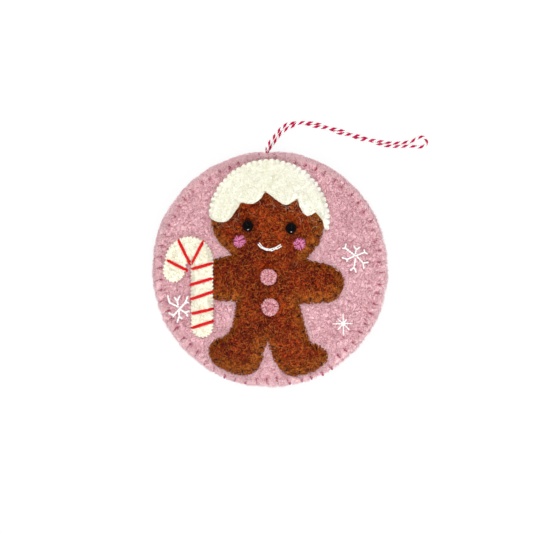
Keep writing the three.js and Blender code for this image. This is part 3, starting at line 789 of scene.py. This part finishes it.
def seat_edge(mesh, line, outs, ground, sink, width):
    """Draws a piece down along a line of its edge until it meets the felt below it and sinks in a little."""
    bm = bmesh.new()
    bm.from_mesh(mesh)
    own = BVHTree.FromBMesh(bm)
    bm.free()
    drops = []
    for point, out in zip(line, outs):
        x, y = point[:2] - out * 0.8 * MM
        under = own.ray_cast(Vector((x, y, 0)), Vector((0, 0, 1)))[0]
        drops.append(max(0, under.z - ground(x, y)) if under else 0)
    drops = np.mean([np.roll(drops, k) for k in range(-3, 4)], axis=0) + sink
    nearest = nearest_on(line)
    for v in mesh.vertices:
        k, away = nearest(v)
        v.co.z -= drops[k] * (1 - ease(away, 0, width))
    mesh.update()


def over_edge(places, outs, outer, inner):
    """The two ends of a stitch at each place of an edge, in millimetres outside it."""
    return [(p[:2] + o * outer * MM, p[:2] + o * inner * MM) for p, o in zip(places, outs)]


def pull_in(mesh, stitches, width, depth, inward, mark=0):
    """Presses a felt piece down along its stitches, each from a place outside its edge to one inside it."""
    places = places_of(mesh)
    painted_shade = np.zeros(len(places))
    for outer, inner in stitches:
        way = inner - outer
        long = np.linalg.norm(way)
        way = way / long
        off = places[:, :2] - outer
        along = off @ way
        across = off @ np.array([-way[1], way[0]])
        within = ease(along, -0.5 * long, 0) * (1 - ease(along, 0.7 * long, 1.3 * long))
        near = np.exp(-(across / width) ** 2) * within
        places[:, 2] -= depth * near
        places[:, :2] += way * (inward * near * (1 - ease(along, 0.2 * long, long)))[:, None]
        # Painted shade along each stitch, as strong as mark says.
        painted_shade = np.maximum(painted_shade, mark * near)
    move_to(mesh, places)
    press_mark(mesh, painted_shade)


def felt_grain(mesh, amount, size, seed):
    """Leaves a cut felt piece slightly uneven."""
    places, normals = places_of(mesh), places_of(mesh, "normal")
    move_to(mesh, places + normals * amount * lumps(places / MM, size, seed)[:, None])


def corners_of(node_name):
    """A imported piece's lowest and highest corners."""
    return (np.array(corner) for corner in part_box(node_name))


# The near-black first tint is painted shade in the stitch dents and round the eyes; the tawny last tint is
# painted light on the cut edge.
brown_felt = wool_felt("brown_wool_felt", sunk="120402", deep="160402", middle="701808", light="b44814",
                       blotch=0.3, spread=0.1, painted_light="c87626")
brown_wool = wool_fibre("brown_wool_fibre", "140402", "480e05", "7c220a", "a44412", "c67632")
tawny_wool = wool_fibre("tawny_wool_fibre", "5c1c08", "863810", "a8581a", "c0782a")
brown_cotton = cotton("dark_brown_cotton", "0c0302", "260c05")
figure_mesh = soft_copy("gingerbread_figure", voxel=0.37 * MM, rounds=3)
felt_grain(figure_mesh, amount=0.15 * MM, size=2.5, seed=31)
on_disc = surface_of(front)
seat_edge(figure_mesh, *outline("gingerbread_figure", 0.4 * MM), on_disc, sink=1.4 * MM, width=3 * MM)
places, outs = outline("gingerbread_figure", 1.4 * MM)
picked = [4 * k + rng.integers(0, 3) for k in range(len(places) // 4)]
places, outs = places[picked], outs[picked]
# Painted shade in each stitch dent.
pull_in(figure_mesh, over_edge(places, outs, -1.0, -2.4), width=0.5 * MM, depth=0.45 * MM, inward=0, mark=0.9)
figure_line, figure_outs = outline("gingerbread_figure", 0.8 * MM)
nearest = nearest_on(figure_line)
# Painted light along the cut edge: a little all round, and most on the edges that face the lamps at the lower
# right.
painted_light = []
for v in figure_mesh.vertices:
    k, away = nearest(v)
    facing = ease(0.4 * figure_outs[k][0] - 0.8 * figure_outs[k][1], -0.7, 0.8)
    painted_light.append((0.22 + 0.5 * facing) * (1 - ease(away, 0.4 * MM, (2.5 + 5 * facing) * MM)))
press_mark(figure_mesh, np.array(painted_light), "painted_light")
figure = shown("gingerbread_felt", figure_mesh, brown_felt)
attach(figure, "ornament")
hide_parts("gingerbread_figure")
low, high = corners_of("gingerbread_figure")
on_figure = surface_of(front, figure)
on_felt = surface_of(figure)
lines = []
for (x, y, _), out in zip(places, outs):
    stops = []
    for inside_by, rise in BROWN_STITCH:
        px, py = x - out[0] * inside_by * MM, y - out[1] * inside_by * MM
        stops.append((px, py, on_felt(px, py) + rise * MM))
    lines.append(smooth_line(stops, 0.2 * MM))
figure_sewing = threads("gingerbread_stitches", lines, 0.34 * MM, brown_cotton, 6)
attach(figure_sewing, "ornament")


def away_from(line, places):
    """How far each place is from the nearest point of a line, seen from above."""
    return np.min(np.hypot(*(places[:, None, :2] - line[None, :, :2]).transpose(2, 0, 1)), axis=1)


def upward(places, normals):
    return (normals[:, 2] > -0.3) * 1.0


def cut_round(places, normals):
    between_legs = np.hypot(places[:, 0] + 1.4 * MM, places[:, 1] + 32 * MM) < 2.5 * MM
    return (np.abs(normals[:, 2] - 0.4) < 0.5) * ~between_legs


def round_figure(places, normals):
    just_outside = figure_line[:, :2] + 0.6 * MM * figure_outs
    return (away_from(just_outside, places) < 0.7 * MM) * (normals[:, 2] > 0.3)


# The edge fibres are real; their light tawny colour paints light over the shade along the outline.
figure_edge = fibres("gingerbread_edge_nap", figure, tawny_wool, count=3200, length=1.7 * MM,
                     width=0.2 * MM, lift=0.6 * MM, seed=42, curl=0.8, where=cut_round)
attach(figure_edge, "ornament")
# Pale fibres just outside the figure paint light over the shade along its edge.
seam_nap = fibres("front_felt_nap_at_figure", front, painted_light_wool, count=2200, length=1.8 * MM,
                  width=0.14 * MM, lift=0.9 * MM, seed=44, curl=0.8, where=round_figure)
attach(seam_nap, "ornament")
figure_nap = fibres("gingerbread_nap", figure, brown_wool, count=9500, length=2.6 * MM,
                    width=0.19 * MM, lift=0.22 * MM, seed=41, curl=0.8, where=upward)
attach(figure_nap, "ornament")


# Icing
# Cream felt over the top of the head, whip-stitched round its outer edge with cream thread, which draws the
# edge into scallops. The drips below are cut and left plain, with a few loose wisps under them.
ICING_MIDDLE = np.array([-0.56, 21.0]) * MM
ICING_ROUND = 25.2 * MM


def edge_stitches(places, outs, height, ground, reach, proud):
    """The thread of each edge stitch: up out of the ground, over the edge and down into the felt."""
    lines = []
    for (x, y, _), out in zip(places, outs):
        stops = []
        for along, share in ((proud, -0.3), (proud, 0.4), (0.6 * proud, 0.8), (-0.5, 1), (-0.75 * reach, 1),
                             (-reach, 0.7)):
            px, py = x + out[0] * along * MM, y + out[1] * along * MM
            low = ground(px, py)
            back_in = max(0.7, -along)
            high = max(low, height(x - out[0] * back_in * MM, y - out[1] * back_in * MM))
            stops.append((px, py, low + share * (high - low)))
        lines.append(smooth_line(stops, 0.25 * MM))
    return lines


def on_round(line):
    """Which points of the icing's edge lie on its round outer side."""
    return np.linalg.norm(line[:, :2] - ICING_MIDDLE, axis=1) > ICING_ROUND


cream_felt = wool_felt("cream_wool_felt", sunk="d6d2b2", deep="dcdaba", middle="faf9e8", light="fffffc",
                       blotch=0.12, painted_light="ffffff")
cream_wool = wool_fibre("cream_wool_fibre", "dedcc0", "f2f0de", "faf9ea", "fffffa")
cream_cotton = cotton("cream_cotton", "ecead4", "fffff4")
icing_mesh = soft_copy("icing_cap", voxel=0.3 * MM, rounds=5)
felt_grain(icing_mesh, amount=0.3 * MM, size=5, seed=33)
felt_grain(icing_mesh, amount=0.14 * MM, size=1.8, seed=34)
icing_line, icing_outs = outline("icing_cap", 0.4 * MM)
rounded = on_round(icing_line)
for part, sink, width in ((~rounded, 0.4 * MM, 1.6 * MM), (rounded, 0.1 * MM, 2.6 * MM)):
    seat_edge(icing_mesh, icing_line[part], icing_outs[part], on_figure, sink, width)
places, outs = outline("icing_cap", 2.5 * MM)
sewn = on_round(places)
places, outs = places[sewn], outs[sewn]
# Painted shade in the notches between the scallops.
pull_in(icing_mesh, over_edge(places, outs, 0.5, -1.9), width=0.34 * MM, depth=0.32 * MM, inward=0.7 * MM,
        mark=0.4)
between, bulges = (places + np.roll(places, -1, 0)) / 2, outs + np.roll(outs, -1, 0)
close = np.linalg.norm(places - np.roll(places, -1, 0), axis=1) < 3.5 * MM
pull_in(icing_mesh, over_edge(between[close], bulges[close], 0.3, -0.8), width=0.95 * MM, depth=-0.06 * MM,
        inward=-0.25 * MM)
# Painted light: the icing is painted whiter towards its right side, where the lamps light it.
press_mark(icing_mesh, 0.6 * ease(places_of(icing_mesh)[:, 0] / MM, -2, 16), "painted_light")
icing = shown("icing_felt", icing_mesh, cream_felt)
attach(icing, "ornament")
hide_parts("icing_cap")
low, high = corners_of("icing_cap")
lines = edge_stitches(places, outs, surface_of(icing), on_figure, reach=1.9, proud=-0.7)
icing_sewing = threads("icing_stitches", lines, 0.2 * MM, cream_cotton, 6)
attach(icing_sewing, "ornament")


def inside(line, margin):
    """Keeps fibres on the upper side of a piece, away from its sewn edge."""
    def where(places, normals):
        well_in = away_from(line[::3], places) > margin
        return well_in * (normals[:, 2] > 0.3) + 0.12 * (normals[:, 2] > -0.3)

    return where


def below_icing(places, normals):
    away = away_from(icing_line[::3], places)
    return (np.exp(-(away / (3 * MM)) ** 2) + 0.003) * (normals[:, 2] > 0.5)


icing_nap = fibres("icing_nap", icing, cream_wool, count=3000, length=3 * MM, width=0.18 * MM,
                   lift=0.2 * MM, seed=43, where=inside(icing_line[rounded], 2.2 * MM))
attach(icing_nap, "ornament")
tan_wool = wool_fibre("tan_wool_fibre", "8a5a34", "b48a62", "d8c09c", "efe6cc")
wisps = fibres("icing_wisps", figure, tan_wool, count=170, length=3.4 * MM, width=0.08 * MM,
               lift=0.4 * MM, seed=47, curl=0.9, where=below_icing)
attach(wisps, "ornament")


# Candy cane
# The icing's cream felt, cut to a crook, whip-stitched all round and laid over the figure's left hand. It is
# drawn darker and a little yellower than the icing, as painted shade. Eight straight stitches of red thread
# cross it from edge to edge.
STRIPE_THREAD = 1.4
STRIPE_LAY = 3.6 * MM
STRIPE_OVER = 0.15
STRIPES = [
    ((-43.3, 3.7), (-35.1, -0.5)), ((-38.8, 12.1), (-33.8, 2.2)), ((-28.3, 11.9), (-32.7, 2.8)),
    ((-32.6, 0.2), (-24.4, 2.5)), ((-33.5, -6.6), (-24.4, -3.8)), ((-33.5, -12.7), (-24.4, -9.5)),
    ((-32.9, -18.8), (-24.3, -16.7)), ((-33.2, -24.9), (-24.4, -22.0)),
]
SLIT_OF_CROOK = [(-33.6, 2.0), (-34.0, 0.4), (-34.3, -1.2), (-34.5, -2.8)]
# A darker, yellower copy of the icing's cream felt and fibres, which paints the shade on the cane.
shaded_cream_felt = wool_felt("cream_wool_felt_in_shade", sunk="c6c09e", deep="d4ceae", middle="f4efda", light="fefdf4",
                       blotch=0.12)
shaded_cream_wool = wool_fibre("cream_wool_fibre_in_shade", "d6d0b2", "ece7d0", "f8f4e4", "fefdf4")
cane_mesh = soft_copy("candy_cane", voxel=0.3 * MM, rounds=5)
felt_grain(cane_mesh, amount=0.2 * MM, size=2.2, seed=35)
cane_line, cane_outs = outline("candy_cane", 0.4 * MM)
seat_edge(cane_mesh, cane_line, cane_outs, on_figure, sink=0.3 * MM, width=2.4 * MM)
places, outs = outline("candy_cane", 1.6 * MM)
# Painted shade in the notches along the sewn edge.
pull_in(cane_mesh, over_edge(places, outs, 0.5, -1.3), width=0.28 * MM, depth=0.4 * MM, inward=0.6 * MM,
        mark=0.5)
pull_in(cane_mesh, np.array(STRIPES) * MM, width=0.6 * MM, depth=0.35 * MM, inward=0)
between, bulges = (places + np.roll(places, -1, 0)) / 2, outs + np.roll(outs, -1, 0)
pull_in(cane_mesh, over_edge(between, bulges, 0.3, -0.6), width=0.6 * MM, depth=-0.12 * MM, inward=-0.2 * MM)
cane = shown("candy_cane_felt", cane_mesh, shaded_cream_felt)
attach(cane, "ornament")
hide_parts("candy_cane")
low, high = corners_of("candy_cane")
lines = edge_stitches(places, outs, surface_of(cane), on_figure, reach=1.7, proud=-0.5)
cane_sewing = threads("candy_cane_stitches", lines, 0.18 * MM, cream_cotton, 6)
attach(cane_sewing, "ornament")
cane_nap = fibres("candy_cane_nap", cane, shaded_cream_wool, count=1100, length=2.4 * MM, width=0.17 * MM,
                  lift=0.18 * MM, seed=45, where=inside(cane_line, 1.4 * MM))
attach(cane_nap, "ornament")


def stitch(a, b, height, diameter, sink):
    """The line of one stitch that lies on a surface from a to b and goes down into it at both ends."""
    a, b = np.array(a), np.array(b)
    stops = []
    for share in (-0.02, 0.0, 0.05, 0.15, 0.3, 0.5, 0.7, 0.85, 0.95, 1.0, 1.02):
        x, y = a + (b - a) * share
        up = 0.32 * diameter if 0.1 < share < 0.9 else (0.0 if 0 < share < 1 else -sink)
        stops.append((x * MM, y * MM, height(x * MM, y * MM) + up * MM))
    return smooth_line(stops, 0.25 * MM)


def press_spots(mesh, spots, radius, amount):
    """Gives a felt piece painted shade round some places, in millimetres."""
    places = places_of(mesh) / MM
    away = np.min([np.hypot(places[:, 0] - x, places[:, 1] - y) for x, y in spots], axis=0)
    press_mark(mesh, amount * np.exp(-(away / radius) ** 2))


# Painted shade in the narrow slit between the crook's tip and the shaft, where the felt edges on both sides
# shade the pink.
press_spots(front.data, SLIT_OF_CROOK, radius=1.1, amount=0.6)
red_thread = cotton("red_embroidery_cotton", "bc0210", "e40a12")
on_cane = surface_of(front, figure, cane)
for k, (a, b) in enumerate(STRIPES):
    a, b = np.array(a), np.array(b)
    over = STRIPE_OVER * ((b - a) / np.linalg.norm(b - a))
    line = stitch(a - over, b + over, on_cane, STRIPE_THREAD, sink=0.2)
    plies, ply_radius = twisted(line, STRIPE_THREAD * MM, 3, STRIPE_LAY)
    stripe = threads(f"cane_stripe_stitch_{k + 1}", plies, ply_radius, red_thread)
    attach(stripe, "ornament")
    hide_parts(f"cane_stripe_{k + 1}")


# Eyes
# Round black glass beads that stand on their holes. A black thread comes up through each and goes down over
# one side.
BEAD_BORE = 0.15
BEAD_LIP = 0.12 * MM
TIE_THREAD = 0.5 * MM
TIE_LAY = 1.6 * MM
TIE_ROUTE = ((0, -1.4), (0, 0.9), (0.15, 1.6), (0.7, 1.75), (1.5, 1.5), (2.25, 0.85), (2.6, 0), (2.62, -1.3))

# Polished glass: deep black with one sharp glint, dulled in places by a faint smear.
black_glass = bpy.data.materials.new("black_glass")
tree = empty_tree(black_glass)
place = node(tree, "ShaderNodeTexCoord").outputs["Object"]
smear = node(tree, "ShaderNodeTexNoise", {"Vector": place, "Scale": 1 / (1.5 * MM), "Detail": 2}).outputs[0]
depth = node(tree, "ShaderNodeValToRGB", {0: smear}, [(0.35, "010101"), (0.7, "050506")])
polish = node(tree, "ShaderNodeMapRange", {"Value": smear, "To Min": 0.05, "To Max": 0.16})
glass = node(tree, "ShaderNodeBsdfPrincipled", {
    "Base Color": depth.outputs[0], "Roughness": polish.outputs[0], "IOR": 1.5, "Specular IOR Level": 0.09,
})
node(tree, "ShaderNodeOutputMaterial", {"Surface": glass.outputs[0]})
black_cotton = cotton("black_cotton", "040304", "0c0a0c")


def way_at(angle):
    """The level way that points at an angle."""
    return np.array([math.cos(angle), math.sin(angle)])


for side, way in (("left", 115), ("right", 75)):
    low, high = corners_of(f"eye_bead_{side}")
    middle = (low + high) / 2
    # Painted shadow round each bead on the brown felt.
    press_spots(figure.data, [middle[:2] / MM], radius=2.9, amount=0.9)
    bm = bmesh.new()
    bmesh.ops.create_uvsphere(bm, u_segments=40, v_segments=28, radius=1)
    bored = [v for v in bm.verts if math.hypot(v.co.x, v.co.y) < BEAD_BORE]
    bmesh.ops.delete(bm, geom=bored, context="VERTS")
    bmesh.ops.scale(bm, verts=bm.verts, vec=(high - low) / 2)
    lips = [e for e in bm.edges if e.is_boundary]
    bmesh.ops.bridge_loops(bm, edges=lips)
    bmesh.ops.bevel(bm, geom=lips, offset=BEAD_LIP, offset_type="OFFSET", affect="EDGES", segments=3,
                    profile=0.5, material=-1)
    bmesh.ops.recalc_face_normals(bm, faces=bm.faces)
    bmesh.ops.translate(bm, verts=bm.verts, vec=middle)
    mesh = bpy.data.meshes.new(f"eye_{side}")
    bm.to_mesh(mesh)
    bm.free()
    bead = shown(f"eye_{side}", mesh, black_glass)
    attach(bead, "ornament")
    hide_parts(f"eye_bead_{side}")
    turn = np.array([*way_at(math.radians(way)), 0])
    path = [middle + turn * along * MM + np.array([0, 0, up * MM]) for along, up in TIE_ROUTE]
    plies, ply_radius = twisted(smooth_line(path, 0.2 * MM), TIE_THREAD, 2, TIE_LAY)
    tie = threads(f"eye_tie_{side}", plies, ply_radius, black_cotton)
    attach(tie, "ornament")
    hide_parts(f"eye_thread_{side}")


# Cheeks
# Small rounds of orchid pink cotton: loose straight stitches from the middle out over a low dome of the same
# thread, uneven at the rim. The dome is drawn in a darker copy of the thread, which paints the shade between
# the strands.
CHEEK_STRANDS = 19
CHEEK_TURN = 0.382
CHEEK_DOME = 0.9
orchid_cotton = cotton("orchid_cotton", "b0507c", "ee98be")
# A darker copy of the orchid thread for the dome, which paints the shade between the strands.
orchid_in_painted_shade = cotton("orchid_cotton_painted_shade", "6e2440", "9a4468")
for side, seed in (("left", 51), ("right", 52)):
    low, high = corners_of(f"cheek_{side}")
    middle = (low + high) / 2 / MM
    reach = (high[0] - low[0]) / 2 / MM
    draw = random.Random(seed)
    lines = []
    for k in range(CHEEK_STRANDS):
        way = way_at(2 * math.pi * (k * CHEEK_TURN + draw.uniform(-0.03, 0.03)))
        slant = np.array([-way[1], way[0]]) * draw.uniform(-1.1, 1.1)
        start = draw.uniform(0.0, 0.4) * reach
        end = draw.uniform(0.82, 1.2) * reach
        stops = []
        for share in (0, 0.12, 0.4, 0.65, 0.88, 1):
            along = start + (end - start) * share
            x, y = (middle[:2] + way * along + slant * (1 - share)) * MM
            dome = CHEEK_DOME * (1 - min(1, along / reach / 1.12) ** 2) + draw.uniform(-0.08, 0.12)
            dip = -0.45 if share in (0, 1) else 0
            stops.append((x, y, on_figure(x, y) + (dome + dip) * MM))
        lines.append(smooth_line(stops, 0.3 * MM))
    bed = soft_copy(f"cheek_{side}", voxel=0.25 * MM, rounds=3)
    felt_grain(bed, amount=0.15 * MM, size=0.8, seed=53)
    for v in bed.vertices:
        v.co.z -= 0.35 * MM
    strands = tubes(f"cheek_stitches_{side}", lines, 0.17 * MM, 6)
    cheek = shown(f"cheek_stitches_{side}", joined(strands, bed), orchid_cotton, orchid_in_painted_shade)
    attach(cheek, "ornament")
    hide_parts(f"cheek_{side}")


# Buttons
# Two round dots of rose pink felt, sewn down with a ring of short stitches in rose cotton, their edges
# ragged.
BUTTON_STITCHES = 20
rose_felt = wool_felt("rose_wool_felt", sunk="8a3f48", deep="92424c", middle="d0868e", light="fcccd0",
                      blotch=0.12)
rose_wool = wool_fibre("rose_wool_fibre", "7c343c", "c06c76", "e29ca4", "ffd6da")
rose_cotton = cotton("rose_cotton", "d08a92", "f8d0d3")
for k, which in enumerate(("upper", "lower")):
    dot = soft_copy(f"button_{which}", voxel=0.3 * MM, rounds=3)
    felt_grain(dot, amount=0.25 * MM, size=0.9, seed=61 + k)
    button = shown(f"button_felt_{which}", dot, rose_felt)
    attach(button, "ornament")
    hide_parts(f"button_{which}")
    low, high = corners_of(f"button_{which}")
    middle, reach = (low + high) / 2 / MM, (high[0] - low[0]) / 2 / MM
    on_button = surface_of(front, figure, button)
    draw = random.Random(65 + k)
    lines = []
    for n in range(BUTTON_STITCHES):
        way = way_at(2 * math.pi * (n + draw.uniform(-0.35, 0.35)) / BUTTON_STITCHES)
        lean = np.array([-way[1], way[0]]) * draw.uniform(-0.25, 0.25)
        stops = []
        for along, rise in ((draw.uniform(0.35, 0.75), -0.3), (0.7, 0.12), (0.8, 0.1), (0.88, 0.12),
                            (draw.uniform(0.92, 1.04), -0.15)):
            x, y = (middle[:2] + (way * along + lean * (1 - along)) * reach) * MM
            stops.append((x, y, on_button(x, y) + rise * MM))
        lines.append(smooth_line(stops, 0.25 * MM))
    sewing = threads(f"button_stitches_{which}", lines, 0.2 * MM, rose_cotton, 6)
    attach(sewing, "ornament")
    nap = fibres(f"button_nap_{which}", button, rose_wool, count=380, length=1.5 * MM, width=0.22 * MM,
                 lift=0.28 * MM, seed=63 + k, curl=0.9, where=upward)
    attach(nap, "ornament")


# Smile
# White embroidery cotton in back stitch, two strands side by side, each stitch a little over the last.
# It is pulled snug so that it lies on the brown felt.
SMILE = [(-4.8, 10.75), (-3.1, 9.1), (-0.8, 8.1), (1.95, 8.7), (4.4, 10.1)]
SMILE_STITCHES = 5
SMILE_THREAD = 0.54 * MM
SMILE_LAY = 1.8 * MM
white_thread = cotton("white_embroidery_cotton", "e9e6e4", "ffffff")
mouth = smooth_line([(x, y, 0) for x, y in SMILE], 0.2)
marks = mouth[np.linspace(0, len(mouth) - 1, SMILE_STITCHES + 1).astype(int)][:, :2]
draw = random.Random(71)
lines = []
for a, b in zip(marks, marks[1:]):
    over = (b - a) * 0.12
    aside = np.array([a[1] - b[1], b[0] - a[0]]) / np.linalg.norm(b - a)
    for side in (-1, 1):
        spread = [aside * side * draw.choice((0.16, 0.3, 0.48)) for _ in range(2)]
        line = stitch(a - over + spread[0], b + over + spread[1], on_figure, 0.9, sink=0.3)
        plies, ply_radius = twisted(line, SMILE_THREAD, 2, SMILE_LAY)
        lines += plies
smile = threads("smile_stitches", lines, ply_radius, white_thread)
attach(smile, "ornament")
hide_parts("smile")


# Snowflakes
# White embroidery cotton in straight stitches on the pink felt: two flakes with forked arms and one plain
# star, none of them quite even. The felt is pricked in just past the end of each stitch.
FLAKES = {
    "left": [
        ((-41.2, -19.8), (-35.9, -14.0)), ((-35.9, -14.0), (-35.0, -11.3)), ((-36.3, -14.1), (-34.5, -14.1)),
        ((-41.0, -19.5), (-43.1, -18.6)), ((-41.0, -19.2), (-41.2, -20.2)), ((-38.8, -16.0), (-42.8, -14.2)),
        ((-42.7, -14.3), (-43.6, -11.2)), ((-39.1, -15.2), (-39.5, -13.4)), ((-39.5, -13.5), (-38.4, -11.3)),
        ((-39.7, -13.3), (-40.7, -11.8)), ((-38.5, -16.8), (-35.7, -18.6)), ((-35.8, -18.5), (-35.0, -19.9)),
        ((-35.9, -18.3), (-34.4, -17.6)), ((-38.8, -17.1), (-38.6, -19.9)), ((-38.7, -19.9), (-39.5, -22.6)),
        ((-38.5, -20.1), (-37.4, -21.0)),
    ],
    "upper": [
        ((36.3, 5.8), (31.8, 9.1)), ((31.9, 9.0), (30.9, 8.9)), ((31.9, 9.2), (32.2, 10.8)),
        ((36.3, 6.5), (36.5, 8.4)), ((36.5, 8.3), (38.2, 9.5)), ((36.4, 8.6), (35.6, 10.0)),
        ((36.3, 5.8), (40.3, 7.3)), ((40.2, 7.3), (39.9, 8.4)), ((40.2, 7.2), (41.5, 6.6)),
        ((36.9, 5.5), (39.6, 2.7)), ((39.6, 2.7), (41.8, 3.1)), ((39.5, 2.6), (39.9, 0.4)),
        ((36.2, 4.7), (35.6, 0.9)), ((35.5, 0.9), (34.2, -0.4)), ((35.7, 0.7), (36.6, -1.2)),
        ((35.7, 5.7), (32.6, 4.2)), ((32.7, 4.5), (30.6, 4.9)), ((32.5, 4.3), (32.7, 3.4)),
    ],
    "lower": [
        ((31.1, -22.9), (31.0, -18.6)), ((31.1, -23.0), (32.6, -21.1)), ((31.1, -23.0), (35.2, -23.0)),
        ((31.1, -23.0), (33.8, -25.8)), ((31.1, -23.0), (31.3, -28.2)), ((31.1, -23.0), (28.7, -25.7)),
        ((31.1, -23.0), (26.4, -23.1)), ((31.1, -23.0), (28.6, -20.9)),
    ],
}
FLAKE_THREAD = {"left": 0.95, "upper": 0.85, "lower": 0.64}
FLAKE_LAY = 2.2 * MM
PRICK_PAST, PRICK_WIDTH, PRICK_DEPTH = 1.12, 0.6 * MM, 0.35 * MM
# One mask round each prick sinks the felt and gives it a painted shade.
places = places_of(front.data)
painted_shade = np.zeros(len(places))
for stitches in FLAKES.values():
    for a, b in stitches:
        x, y = np.array(a) + (np.array(b) - np.array(a)) * PRICK_PAST
        near = np.exp(-((places[:, 0] - x * MM) ** 2 + (places[:, 1] - y * MM) ** 2) / PRICK_WIDTH ** 2)
        painted_shade = np.maximum(painted_shade, near * (places[:, 2] > 4.6 * MM))
places[:, 2] -= PRICK_DEPTH * painted_shade
move_to(front.data, places)
press_mark(front.data, 0.9 * painted_shade)
for name, stitches in FLAKES.items():
    lines = []
    for a, b in stitches:
        line = stitch(a, b, on_disc, FLAKE_THREAD[name], sink=0.35)
        plies, ply_radius = twisted(line, FLAKE_THREAD[name] * MM, 2, FLAKE_LAY)
        lines += plies
    flake = threads(f"snowflake_stitches_{name}", lines, ply_radius, white_thread, 6)
    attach(flake, "ornament")
    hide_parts(f"snowflake_{name}")
